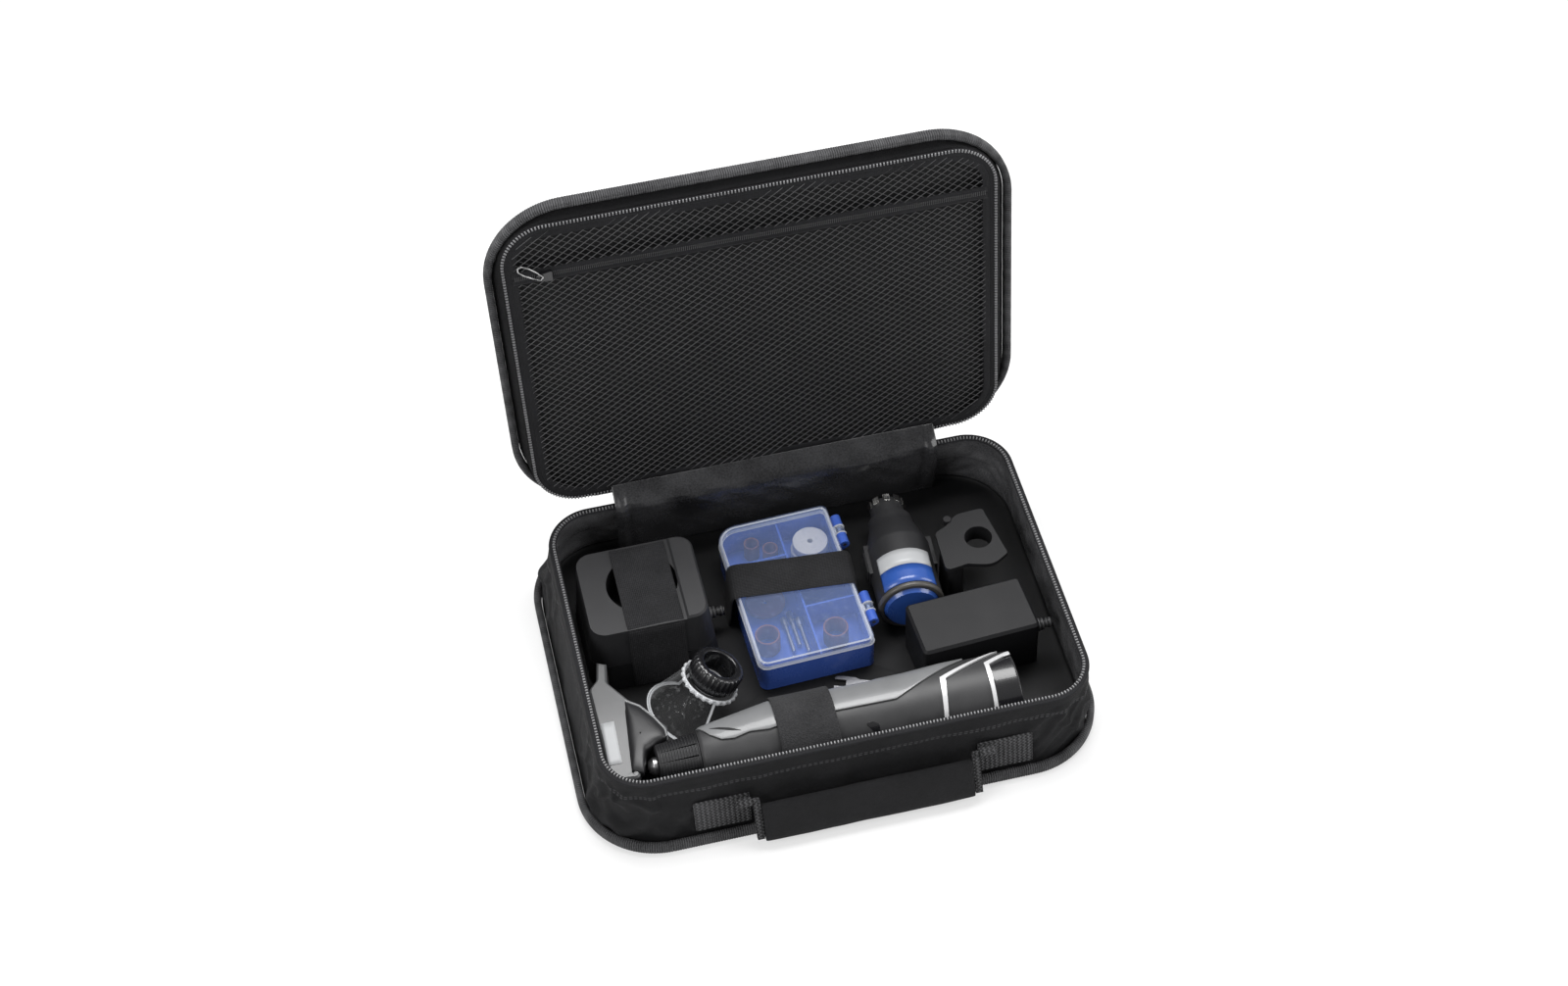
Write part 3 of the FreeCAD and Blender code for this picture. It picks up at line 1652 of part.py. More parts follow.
def tool_trim():
    """The bright chevron and the frame round the battery bay."""
    chevron = [
        (203.0, 17.0),
        (207.0, 17.0),
        (171.6, 1.6),
        (168.0, -20.0),
        (165.6, -20.0),
        (168.4, 3.0),
    ]
    frame = [
        (208.4, 12.6),
        (208.4, 9.6),
        (198.6, 5.4),
        (197.6, -20.0),
        (195.4, -20.0),
        (196.0, 7.2),
    ]
    skin_part("tool_trim", S["panel_skin"] + 0.3, [chevron, frame])


def motor():
    """The motor's can, bored for the spindle."""
    piece = Piece("motor")
    start = S["motor_start"]
    end = start + S["motor_length"]
    radius = S["motor_diameter"] / 2
    bore = S["shaft_diameter"] / 2 + 0.4
    outline = piece.sketch("XY")
    outline.polygon(
        [
            (start, bore),
            (start, radius),
            (end - 0.2, radius),
            (end - 0.2, bore),
        ]
    )
    piece.turn(outline)
    keep("motor", piece, TOOL)


def bearings():
    """The spindle's two bearings."""
    rings = []
    for start in (S["front_bearing_start"], S["motor_start"] + S["motor_length"] + 2.0):
        piece = Piece("bearing")
        bore = S["shaft_diameter"] / 2 + S["running_gap"]
        outline = piece.sketch("XY")
        width = S["bearing_width"]
        outline.box(start + SEAM, start + width - SEAM, bore, S["bearing_diameter"] / 2 - SEAM)
        piece.turn(outline)
        rings.append(piece)
    keep("bearings", group("bearings", rings), TOOL)


def circuit_board():
    """The round control board behind the motor."""
    piece = Piece("circuit_board")
    start = S["motor_start"] + S["motor_length"] + 2.0 + S["bearing_width"] + 5.0
    outline = piece.sketch("YZ", start)
    outline.circle(0.0, 0.0, 14.9)
    piece.pad(outline, 1.6)
    plug = piece.sketch("YZ", start + 1.6)
    plug.box(-4.0, 4.0, -4.0, 4.0)
    piece.pad(plug, S["bay_start"] + 8 - start - 1.6)
    keep("circuit_board", piece, TOOL)


def spindle():
    """The shaft through both bearings, the motor and the nose."""
    piece = Piece("spindle")
    radius = S["shaft_diameter"] / 2
    end = S["motor_start"] + S["motor_length"] + 2.0 + S["bearing_width"] + 2.0
    outline = piece.sketch("XY")
    outline.polygon(
        [
            (6.0, S["collet_bore"] / 2 + 1.0),
            (6.0, 3.6),
            (30.0, 3.6),
            (30.0, radius),
            (end, radius),
            (end, 0.0),
            (14.0, 0.0),
            (14.0, S["collet_bore"] / 2 + 1.0),
        ]
    )
    piece.turn(outline)
    keep("spindle", piece, TOOL)


def cooling_fan():
    """The fan between the front bearing and the motor."""
    piece = Piece("cooling_fan")
    hub = piece.sketch("YZ", 53.0)
    hub.circle(0.0, 0.0, 6.0)
    piece.pad(hub, 8.0)
    blade = piece.sketch("YZ", 53.0)
    blade.box(-0.6, 0.6, 4.0, 13.0)
    vane = piece.pad(blade, 6.0)
    piece.repeat(vane, 8, "X")
    bore = piece.sketch("YZ", 52.0)
    bore.circle(0.0, 0.0, S["shaft_diameter"] / 2)
    piece.pocket(bore, 10.0)
    keep("cooling_fan", piece, TOOL)


def collet():
    """The split collet that grips a bit's shank."""
    piece = Piece("collet")
    outline = piece.sketch("XY")
    bore = S["collet_bore"] / 2
    outline.polygon([(-4.0, bore), (-4.0, bore + 1.0), (13.8, bore + 1.0), (13.8, bore)])
    piece.turn(outline)
    keep("collet", piece, TOOL)


def collet_nut():
    """The nut that closes the collet."""
    piece = Piece("collet_nut")
    outline = piece.sketch("XY")
    bore = S["collet_bore"] / 2 + 1.0
    outline.polygon(
        [
            (-5.0, bore),
            (-5.0, 3.4),
            (-2.0, 5.4),
            (9.8, 5.4),
            (9.8, 3.6),
            (6.0, 3.6),
            (6.0, bore),
        ]
    )
    piece.turn(outline)
    keep("collet_nut", piece, TOOL)


def nose_cap():
    """The ribbed cap that screws on the housing's neck."""
    piece = Piece("nose_cap")
    radius = S["cap_diameter"] / 2
    bore = NECK_RADIUS + S["running_gap"]
    outline = piece.sketch("XY")
    outline.polygon(
        [
            (0.0, 7.0),
            (0.0, radius - 3.2),
            (1.6, radius - 1.8),
            (S["cap_length"], radius),
            (S["cap_length"], bore),
            (11.6, bore),
            (11.6, 7.0),
        ]
    )
    piece.turn(outline)
    rib = piece.sketch("YZ", 2.4)
    rib.polygon([(-0.7, radius + 1), (0.0, radius - 2.2), (0.7, radius + 1)])
    groove = piece.pocket(rib, S["cap_length"] - 3.6)
    piece.repeat(groove, 12, "X")
    keep("nose_cap", piece, TOOL)


def power_switch():
    """The sliding switch on the far side of the housing."""
    piece = Piece("power_switch")
    low = BODY_RADIUS - 3.3
    outline = piece.sketch("XZ", -low)
    outline.box(105.0, 122.0, -5.0, 5.0, 1.0)
    piece.pad(outline, 4.6, reverse=True)
    keep("power_switch", piece, TOOL)


def lock_button():
    """The sprung button that locks the spindle."""
    piece = Piece("lock_button")
    outline = piece.sketch("XZ", -17.2)
    outline.box(42.4, 50.0, -3.8, 3.8, 1.0)
    piece.pad(outline, 3.8, reverse=True)
    keep("lock_button", piece, TOOL)


def collet_wrench():
    """The flat wrench for the collet's nut."""
    piece = Piece("collet_wrench")
    outline = piece.sketch()
    outline.polygon(
        [
            (-24.0, -5.0, 2.0),
            (-12.0, -5.0, 2.0),
            (-9.0, -3.6),
            (24.0, -3.6, 3.4),
            (24.0, 3.6, 3.4),
            (-9.0, 3.6),
            (-12.0, 5.0, 2.0),
            (-24.0, 5.0, 2.0),
            (-24.0, 2.4),
            (-17.0, 2.4),
            (-17.0, -2.4),
            (-24.0, -2.4),
        ]
    )
    piece.pad(outline, S["wrench_thickness"])
    across = S["wrench_gap"] - S["box_length"] / 2
    keep("collet_wrench", piece, Seat(S["wrench_x"], across, FLOOR, (0, 0, 1), S["wrench_angle"]))


def build():
    """Makes every sub-part, assembly by assembly."""
    base_board()
    base_binding()
    case_shell("base_wall", 0.0, S["wall_thickness"], 0.0)
    case_shell("base_liner", S["wall_thickness"] + 0.2, S["liner_thickness"], S["liner_thickness"])
    zip_ring("base_zip_tape", TAPE_BOTTOM, RIM_Y)
    handle_tabs()
    hinge_gusset()
    handle_strap()
    handle_grip()
    lid_panel()
    lid_binding()
    lid_wall()
    zip_ring("lid_zip_tape", S["zip_gap"], LID_MIDDLE, LID)
    lid_mesh()
    pocket_zip_tape()
    pocket_slider()
    pocket_puller()
    charger_strap()
    box_strap()
    tool_strap()
    charger_base()
    charger_cover()
    charger_contacts()
    cord_relief("charger_cord_relief", CHARGER, RELIEF_X, RELIEF_Y, RELIEF_Z)
    adapter_base()
    adapter_cover()
    cord_relief("adapter_cord_relief", ADAPTER, S["adapter_length"] / 2, -12.0, 26.0)
    box_tray()
    box_lid()
    box_hinge_pins()
    box_contents()
    mandrels()
    battery_case()
    battery_ring()
    battery_end_cap()
    battery_contacts()
    release_button("release_button_left", -1)
    release_button("release_button_right", 1)
    shaping_platform()
    guard_ring()
    guard_shield()
    grip_shell()
    grip_pad()
    tool_shell("tool_upper_shell", True)
    tool_shell("tool_lower_shell", False)
    tool_side_panel()
    tool_trim()
    motor()
    bearings()
    circuit_board()
    spindle()
    cooling_fan()
    collet()
    collet_nut()
    nose_cap()
    power_switch()
    lock_button()
    collet_wrench()


def check():
    """Stops if an object failed or a sub-part has no valid solid."""
    faults = []
    for item in DOC.Objects:
        if "Invalid" in item.State or "Error" in item.State:
            faults.append(f"{item.Label} {item.State}")
    for part in PARTS:
        if part.Shape.isNull() or not part.Shape.isValid() or not part.Shape.Solids:
            faults.append(f"{part.Label} has no valid solid")
    if faults:
        raise RuntimeError("; ".join(faults))


def write():
    """Writes each sub-part to its own file."""
    os.makedirs("parts", exist_ok=True)
    for part in PARTS:
        part.Shape.exportStep(os.path.join("parts", part.Label + ".step"))
    print(len(PARTS), "sub-parts")


build()
DOC.recompute()
check()
write()
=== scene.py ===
"""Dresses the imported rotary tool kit: an open fabric zip case with its strapped contents."""

from __future__ import annotations

import json
import logging
import math
from dataclasses import dataclass, field, replace
from enum import Enum
from typing import Callable, Iterable, Sequence

import bmesh
import bpy
import numpy as np
from mathutils import Matrix, Vector, noise

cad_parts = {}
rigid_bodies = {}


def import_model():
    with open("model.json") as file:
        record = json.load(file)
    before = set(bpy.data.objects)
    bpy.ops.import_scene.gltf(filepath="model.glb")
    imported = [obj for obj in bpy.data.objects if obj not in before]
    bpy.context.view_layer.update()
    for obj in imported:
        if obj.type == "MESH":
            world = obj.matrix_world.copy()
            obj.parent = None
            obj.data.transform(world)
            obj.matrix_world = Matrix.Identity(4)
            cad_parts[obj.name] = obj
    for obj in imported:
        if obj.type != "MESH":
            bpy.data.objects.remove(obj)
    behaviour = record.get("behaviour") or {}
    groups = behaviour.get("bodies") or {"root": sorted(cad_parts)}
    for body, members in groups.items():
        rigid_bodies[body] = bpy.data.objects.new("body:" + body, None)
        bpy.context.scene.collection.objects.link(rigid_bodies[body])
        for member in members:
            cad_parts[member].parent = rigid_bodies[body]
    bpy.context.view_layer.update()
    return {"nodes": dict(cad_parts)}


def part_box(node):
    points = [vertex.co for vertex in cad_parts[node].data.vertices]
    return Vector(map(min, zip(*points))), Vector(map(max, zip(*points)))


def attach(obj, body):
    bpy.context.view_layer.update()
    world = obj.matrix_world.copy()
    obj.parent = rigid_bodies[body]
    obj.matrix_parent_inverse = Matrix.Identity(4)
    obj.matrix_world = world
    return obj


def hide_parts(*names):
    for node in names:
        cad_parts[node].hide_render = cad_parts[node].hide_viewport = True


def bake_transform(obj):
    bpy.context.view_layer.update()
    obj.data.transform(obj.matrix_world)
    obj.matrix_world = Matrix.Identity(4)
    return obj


LOG = logging.getLogger("kit")
MM = 0.001
Colour = tuple[float, float, float]
Pair = tuple[float, float]


# Shader building


def math_node(operation: str) -> Callable[..., Val]:
    """A method that puts its value, and any others, through a Math node.

    Args:
        operation: the node's operation.

    Returns:
        The method.
    """

    def method(self: Val, *others: Val | float) -> Val:
        """The node's result."""
        return self.tree.add("ShaderNodeMath", {"operation": operation}, dict(enumerate((self, *others))))

    return method


class Val:
    """A number socket of a shader, with the usual operators."""

    def __init__(self, tree: Tree, socket: bpy.types.NodeSocket) -> None:
        """Keeps the tree and the output socket that carries the value."""
        self.tree = tree
        self.socket = socket

    __add__ = math_node("ADD")
    __sub__ = math_node("SUBTRACT")
    __mul__ = math_node("MULTIPLY")
    __gt__ = math_node("GREATER_THAN")
    __lt__ = math_node("LESS_THAN")
    sine = math_node("SINE")
    size = math_node("ABSOLUTE")
    most = math_node("MAXIMUM")
    power = math_node("POWER")


class Tree:
    """A material's node tree, ready to take nodes."""

    def __init__(self, name: str) -> None:
        """Makes an empty material.

        Args:
            name: the material's name.
        """
        self.material = bpy.data.materials.new(name)
        self.material.use_nodes = True
        self.nodes = self.material.node_tree.nodes
        self.links = self.material.node_tree.links
        self.nodes.clear()

    def add(
        self,
        kind: str,
        settings: dict[str, object] | None = None,
        inputs: dict[int | str, object] | None = None,
        output: int | str = 0,
    ) -> Val:
        """Adds a node.

        Args:
            kind: the node's type.
            settings: its properties, set before its inputs.
            inputs: values or links of its sockets, by name or number.
            output: which output to return.

        Returns:
            The chosen output as a value.
        """
        node = self.nodes.new(kind)
        for key, value in (settings or {}).items():
            setattr(node, key, value)
        for key, value in (inputs or {}).items():
            if isinstance(value, Val):
                self.links.new(value.socket, node.inputs[key])
            else:
                node.inputs[key].default_value = value
        return Val(self, node.outputs[output])

    def axes(self, source: str) -> tuple[Val, Val, Val]:
        """The three numbers of a coordinate.

        Args:
            source: an output of the Texture Coordinate node, such as Object or UV.

        Returns:
            X, Y and Z.
        """
        place = self.add("ShaderNodeTexCoord", output=source)
        split = self.add("ShaderNodeSeparateXYZ", inputs={0: place})
        outputs = split.socket.node.outputs
        return Val(self, outputs[0]), Val(self, outputs[1]), Val(self, outputs[2])

    def cloud(self, scale: float, detail: float = 3.0) -> Val:
        """Smooth noise over the object.

        Args:
            scale: features per metre.
            detail: octaves.

        Returns:
            Noise from nought to one.
        """
        place = self.add("ShaderNodeTexCoord", output="Object")
        inputs = {"Vector": place, "Scale": scale, "Detail": detail}
        return self.add("ShaderNodeTexNoise", inputs=inputs)

    def blend(self, amount: Val, low: Val | Colour, high: Colour) -> Val:
        """A colour between two, by an amount.

        Args:
            amount: nought for the first colour, one for the second.
            low: the first colour.
            high: the second colour.

        Returns:
            The mixed colour.
        """
        first = low if isinstance(low, Val) else (*low, 1.0)
        inputs = {0: amount, 6: first, 7: (*high, 1.0)}
        return self.add("ShaderNodeMix", {"data_type": "RGBA"}, inputs, 2)

    def bump(self, height: Val, distance: float) -> Val:
        """The normal of a height from nought to one, which stands out by a distance in metres."""
        return self.add("ShaderNodeBump", inputs={"Height": height, "Distance": distance, "Strength": 1.0})

    def surface(self, inputs: dict[int | str, object]) -> bpy.types.Material:
        """Ends the tree in a Principled shader with these values and links."""
        return self.output(self.add("ShaderNodeBsdfPrincipled", inputs=inputs))

    def output(self, shader: Val) -> bpy.types.Material:
        """Ends the tree in a shader.

        Args:
            shader: the shader's output.

        Returns:
            The finished material.
        """
        end = self.nodes.new("ShaderNodeOutputMaterial")
        self.links.new(shader.socket, end.inputs["Surface"])
        return self.material


# Finishes


class Weave(Enum):
    """How a cloth's surface is worked."""

    PLAIN = "plain weave"
    RIBS = "ribs across the strip"
    SATIN = "satin"
    ELASTIC = "fine lengthwise ribs"
    FUZZ = "hook and loop"
    CHEVRON = "herringbone webbing"


@dataclass(frozen=True)
class Cloth:
    """A textile finish on a piece whose UV map is in metres."""

    name: str
    dark: Colour
    light: Colour
    weave: Weave
    pitch: float = 0.9
    relief: float = 0.12
    roughness: float = 0.8
    sheen: float = 0.25
    stitches: tuple[float, ...] = ()

    def pattern(self, tree: Tree) -> Val:
        """The weave's height.

        Args:
            tree: the tree to build in.

        Returns:
            A height from nought to one.
        """
        u, v, _ = tree.axes("UV")
        turn = 2 * math.pi / (self.pitch * MM)
        if self.weave is Weave.PLAIN:
            across = (u * turn).sine() * (v * turn).sine()
            fine = (u * turn * 2).sine().size() * 0.3
            return across * 0.35 + 0.5 + fine
        if self.weave is Weave.RIBS:
            ribs = (u * turn).sine() * 0.5 + 0.5
            return ribs.power(0.6)
        if self.weave is Weave.SATIN:
            return tree.cloud(900.0, 2.0) * 0.5 + (v * turn).sine() * 0.05
        if self.weave is Weave.ELASTIC:
            ribs = (v * turn).sine() * 0.5 + 0.5
            return ribs * 0.7 + (u * turn * 0.7).sine() * 0.15
        if self.weave is Weave.CHEVRON:
            zigzag = u * turn + (v * turn * 0.6).sine().size() * 3.0
            return (zigzag.sine() * 0.5 + 0.5).power(1.3) * 1.3
        return tree.cloud(1400.0, 5.0)

    def stitch_mask(self, tree: Tree) -> Val | None:
        """Where the thread of the seams shows.

        Args:
            tree: the tree to build in.

        Returns:
            One on a stitch and nought off it, or nothing where the cloth has no seam.
        """
        mask: Val | None = None
        u, v, _ = tree.axes("UV")
        dash = (u * (2 * math.pi / (3.2 * MM))).sine() > -0.35
        for level in self.stitches:
            line = ((v - level * MM).size() < 0.45 * MM) * dash
            mask = line if mask is None else mask.most(line)
        return mask

    def build(self) -> bpy.types.Material:
        """Makes the material.

        Returns:
            The cloth's material.
        """
        tree = Tree(self.name)
        pattern = self.pattern(tree)
        patches = tree.cloud(38.0, 4.0)
        fibre = tree.cloud(1100.0, 3.0)
        shade = pattern * 0.5 + (patches - 0.5) * 0.9 + (fibre - 0.5) * 0.7 + 0.12
        colour = tree.blend(shade, self.dark, self.light)
        height = pattern
        stitch = self.stitch_mask(tree)
        if stitch is not None:
            thread = tuple(min(1.0, channel * 1.9 + 0.02) for channel in self.light)
            colour = tree.blend(stitch, colour, thread)
            height = pattern + stitch * 2.0
        rough = patches * 0.16 + (self.roughness - 0.08)
        return tree.surface(
            {
                "Base Color": colour,
                "Roughness": rough,
                "Specular IOR Level": 0.5 if self.weave is Weave.SATIN else 0.25,
                "Sheen Weight": self.sheen,
                "Sheen Roughness": 0.5,
                "Normal": tree.bump(height, self.relief * MM),
            }
        )


@dataclass(frozen=True)
class Moulded:
    """A plastic or rubber finish with a fine surface and rubbed patches; where it has ribs, their crests are
    painted lighter and their grooves darker: painted highlight and shade.
    """

    name: str
    dark: Colour
    light: Colour
    roughness: float = 0.5
    grain: float = 2400.0
    relief: float = 0.02
    coat: float = 0.0
    metallic: float = 0.0
    dots: float = 0.0
    ribs: float = 0.0
    shine: float = 0.5

    def build(self) -> bpy.types.Material:
        """Makes the material.

        Returns:
            The plastic's material.
        """
        tree = Tree(self.name)
        grain = tree.cloud(self.grain, 2.0)
        patches = tree.cloud(55.0, 5.0)
        height = grain
        if self.dots:
            x, y, z = tree.axes("Object")
            turn = 2 * math.pi / (self.dots * MM)
            knobs = (x * turn).sine() * (y * turn).sine() * (z * turn).sine()
            height = grain * 0.3 + knobs.most(0.0) * 3.0
        shade = patches * 0.7 + grain * 0.3
        # Rib crests painted lighter and grooves darker: painted highlight and shade on the ribs.
        if self.ribs:
            x, _, _ = tree.axes("Object")
            ridge = (x * (2 * math.pi / (self.ribs * MM))).sine() * 0.5 + 0.5
            height = grain * 0.1 + ridge
            shade = ridge.power(2.0) * 0.8 + patches * 0.2
        colour = tree.blend(shade, self.dark, self.light)
        rough = patches * 0.18 + grain * 0.06 + (self.roughness - 0.12)
        return tree.surface(
            {
                "Base Color": colour,
                "Roughness": rough,
                "Metallic": self.metallic,
                "Specular IOR Level": self.shine,
                "Coat Weight": self.coat,
                "Coat Roughness": 0.08,
                "Normal": tree.bump(height, self.relief * MM),
            }
        )


@dataclass(frozen=True)
class Metal:
    """A bare metal with fine scratches."""

    name: str
    colour: Colour
    roughness: float = 0.28
    stretch: float = 12.0

    def build(self) -> bpy.types.Material:
        """Makes the material.

        Returns:
            The metal's material.
        """
        tree = Tree(self.name)
        place = tree.add("ShaderNodeTexCoord", output="Object")
        stretched = {"Vector": place, "Scale": (self.stretch, 1.0, 1.0)}
        scaled = tree.add("ShaderNodeMapping", {"vector_type": "POINT"}, stretched)
        lines = tree.add("ShaderNodeTexNoise", inputs={"Vector": scaled, "Scale": 900.0, "Detail": 4.0})
        cloud = tree.cloud(60.0, 4.0)
        darker = tuple(channel * 0.72 for channel in self.colour)
        colour = tree.blend(cloud * 0.6 + lines * 0.4, darker, self.colour)
        return tree.surface(
            {
                "Base Color": colour,
                "Metallic": 1.0,
                "Roughness": lines * 0.14 + cloud * 0.1 + (self.roughness - 0.1),
                "Normal": tree.bump(lines, 0.01 * MM),
            }
        )


@dataclass(frozen=True)
class Clear:
    """Clear plastic that turns milky at its lower skirt, and whose faces seen edge-on are painted more opaque
    and whiter: a painted reflection.
    """

    name: str
    tint: Colour
    body: float = 0.16
    # how opaque the faces seen edge-on are painted: a painted reflection
    edge: float = 0.6
    frost_low: float = 0.0
    frost_high: float = 0.0

    def build(self) -> bpy.types.Material:
        """Makes the material.

        Returns:
            The clear plastic's material.
        """
        tree = Tree(self.name)
        facing = tree.add("ShaderNodeLayerWeight", inputs={"Blend": 0.35}, output="Facing")
        # faces seen edge-on are painted more opaque, so that they show lit: a painted reflection
        alpha = facing.power(4.5) * self.edge + self.body
        scratches = tree.cloud(300.0, 6.0)
        alpha = alpha + (scratches > 0.63) * 0.05
        if self.frost_high > self.frost_low:
            _, _, z = tree.axes("Object")
            skirt = (z < self.frost_high * MM) * (z > self.frost_low * MM)
            alpha = alpha + skirt * 0.25
        # the scratches are painted whiter where the face is seen edge-on: a painted reflection on them
        return tree.surface(
            {
                "Base Color": tree.blend(scratches * facing, self.tint, (1.0, 1.0, 1.0)),
                "Roughness": scratches * 0.1 + 0.04,
                "Alpha": alpha,
                "Coat Weight": 1.0,
                "Coat Roughness": 0.03,
                "Normal": tree.bump(scratches, 0.02 * MM),
            }
        )


# Mesh building


def linked(name: str, data: bpy.types.ID) -> bpy.types.Object:
    """A new object of some data, in the scene."""
    item = bpy.data.objects.new(name, data)
    bpy.context.scene.collection.objects.link(item)
    return item


def plain_mesh(
    name: str, points: np.ndarray, faces: Sequence[tuple[int, ...]], soft: bool = False
) -> bpy.types.Object:
    """A mesh of points and faces.

    Args:
        name: the object's name.
        points: the points in millimetres, X, Y and Z on the last axis.
        faces: each face's points.
        soft: whether it is shaded smooth.

    Returns:
        The new object.
    """
    mesh = bpy.data.meshes.new(name)
    mesh.from_pydata((points.reshape(-1, 3) * MM).tolist(), [], faces)
    if soft:
        mesh.polygons.foreach_set("use_smooth", [True] * len(mesh.polygons))
    return linked(name, mesh)


def sheet_mesh(
    name: str, points: np.ndarray, around: bool = False, tube: bool = False, flip: bool = False
) -> bpy.types.Object:
    """A smooth mesh through a grid of points, with a UV map in metres.

    Args:
        name: the object's name.
        points: rows by columns by three, in millimetres.
        around: whether the columns close on themselves.
        tube: whether the rows close on themselves.
        flip: whether the faces point the other way.

    Returns:
        The new object.
    """
    rows, columns, _ = points.shape
    along = np.linalg.norm(np.diff(points, axis=1, append=points[:, :1]), axis=2).mean(axis=0)
    up = np.linalg.norm(np.diff(points, axis=0, append=points[:1]), axis=2).mean(axis=1)
    u = np.concatenate([[0.0], np.cumsum(along)]) * MM
    v = np.concatenate([[0.0], np.cumsum(up)]) * MM
    faces: list[tuple[int, ...]] = []
    uvs: list[Pair] = []
    for r in range(rows if tube else rows - 1):
        for c in range(columns if around else columns - 1):
            corners = [(r, c), (r, c + 1), (r + 1, c + 1), (r + 1, c)]
            if flip:
                corners.reverse()
            faces.append(tuple((i % rows) * columns + j % columns for i, j in corners))
            uvs.extend((u[j], v[i]) for i, j in corners)
    item = plain_mesh(name, points, faces, soft=True)
    layer = item.data.uv_layers.new(name="UVMap")
    layer.data.foreach_set("uv", np.array(uvs, float).ravel())
    return item


def blocks_mesh(name: str, corners: np.ndarray) -> bpy.types.Object:
    """Many small six-sided blocks in one mesh.

    Args:
        name: the object's name.
        corners: blocks by eight corners by three, in millimetres: the lower four, then the upper four.

    Returns:
        The new object.
    """
    sides = [(3, 2, 1, 0), (4, 5, 6, 7), (0, 1, 5, 4), (1, 2, 6, 5), (2, 3, 7, 6), (3, 0, 4, 7)]
    faces = [tuple(block * 8 + i for i in side) for block in range(len(corners)) for side in sides]
    return plain_mesh(name, corners, faces)


def bar(
    name: str, xs: np.ndarray, centre: Pair, radius: float, sides: int, flip: bool
) -> bpy.types.Object:
    """A round tube along X.

    Args:
        name: the object's name.
        xs: the places along it.
        centre: Y and Z of its axis.
        radius: its radius.
        sides: points round it.
        flip: whether its faces point the other way.

    Returns:
        The new object.
    """
    rows = []
    for angle in np.arange(sides) * (2 * math.pi / sides):
        y, z = centre[0] + radius * math.cos(angle), centre[1] + radius * math.sin(angle)
        rows.append([(x, y, z) for x in xs])
    return sheet_mesh(name, np.array(rows), tube=True, flip=flip)


def thicken(item: bpy.types.Object, thickness: float, offset: float = -1.0) -> None:
    """Gives a sheet its thickness.

    Args:
        item: the sheet.
        thickness: in millimetres.
        offset: -1 for thickness behind the faces, 1 in front.
    """
    modifier = item.modifiers.new("Thickness", "SOLIDIFY")
    modifier.thickness = thickness * MM
    modifier.offset = offset


def outward(item: bpy.types.Object) -> None:
    """Turns the faces of a closed mesh outward.

    Args:
        item: the mesh object.
    """
    shape = bmesh.new()
    shape.from_mesh(item.data)
    bmesh.ops.recalc_face_normals(shape, faces=shape.faces)
    shape.to_mesh(item.data)
    shape.free()


def smooth(item: bpy.types.Object) -> None:
    """Subdivides a mesh smoothly, once."""
    modifier = item.modifiers.new("Smooth", "SUBSURF")
    modifier.levels = modifier.render_levels = 1


def ripple(points: np.ndarray, scale: float, seed: float) -> np.ndarray:
    """Smooth noise at points.

    Args:
        points: any shape, the last axis being X, Y and Z in millimetres.
        scale: the size of a feature in millimetres.
        seed: shifts the pattern.

    Returns:
        Noise from about -1 to 1, without the last axis.
    """
    flat = points.reshape(-1, 3) / scale
    shift = Vector((seed * 7.3, seed * 3.1, seed * 5.7))
    values = [noise.noise(Vector(p) + shift) for p in flat]
    return np.array(values).reshape(points.shape[:-1])


@dataclass(frozen=True)
class Outline:
    """A rounded rectangle, sampled so that outlines of any size match point by point."""

    x0: float
    x1: float
    y0: float
    y1: float
    radius: float
    side: int = 70
    corner: int = 22

    def grown(self, by: float) -> "Outline":
        """The outline moved outward by millimetres, or inward if they are less than nought."""
        x0, x1, y0, y1 = self.x0 - by, self.x1 + by, self.y0 - by, self.y1 + by
        return replace(self, x0=x0, x1=x1, y0=y0, y1=y1, radius=self.radius + by)

    def points(self) -> np.ndarray:
        """The outline from its front left, counterclockwise, as X and Y."""
        r = self.radius
        centres = [
            (self.x1 - r, self.y0 + r),
            (self.x1 - r, self.y1 - r),
            (self.x0 + r, self.y1 - r),
            (self.x0 + r, self.y0 + r),
        ]
        starts = [
            (self.x0 + r, self.y0),
            (self.x1, self.y0 + r),
            (self.x1 - r, self.y1),
            (self.x0, self.y1 - r),
        ]
        line: list[Pair] = []
        for index, (cx, cy) in enumerate(centres):
            first = math.radians(-90 + 90 * index)
            sx, sy = starts[index]
            ex, ey = cx + r * math.cos(first), cy + r * math.sin(first)
            for step in range(self.side):
                t = step / self.side
                line.append((sx + (ex - sx) * t, sy + (ey - sy) * t))
            for step in range(self.corner):
                angle = first + math.pi / 2 * step / self.corner
                line.append((cx + r * math.cos(angle), cy + r * math.sin(angle)))
        return np.array(line)

    def normals(self) -> np.ndarray:
        """The outward direction at each point."""
        line = self.points()
        ahead = np.roll(line, -1, axis=0) - np.roll(line, 1, axis=0)
        ahead /= np.linalg.norm(ahead, axis=1)[:, None]
        return np.stack([ahead[:, 1], -ahead[:, 0]], axis=1)

    def halves(self) -> tuple[float, float, float, float]:
        """Half its width, half its depth, its corner radius and the Y of its middle."""
        return (self.x1 - self.x0) / 2, (self.y1 - self.y0) / 2, self.radius, (self.y0 + self.y1) / 2

    def at(self, height: float) -> np.ndarray:
        """The outline's points at a height."""
        line = self.points()
        return np.concatenate([line, np.full((len(line), 1), height)], axis=1)


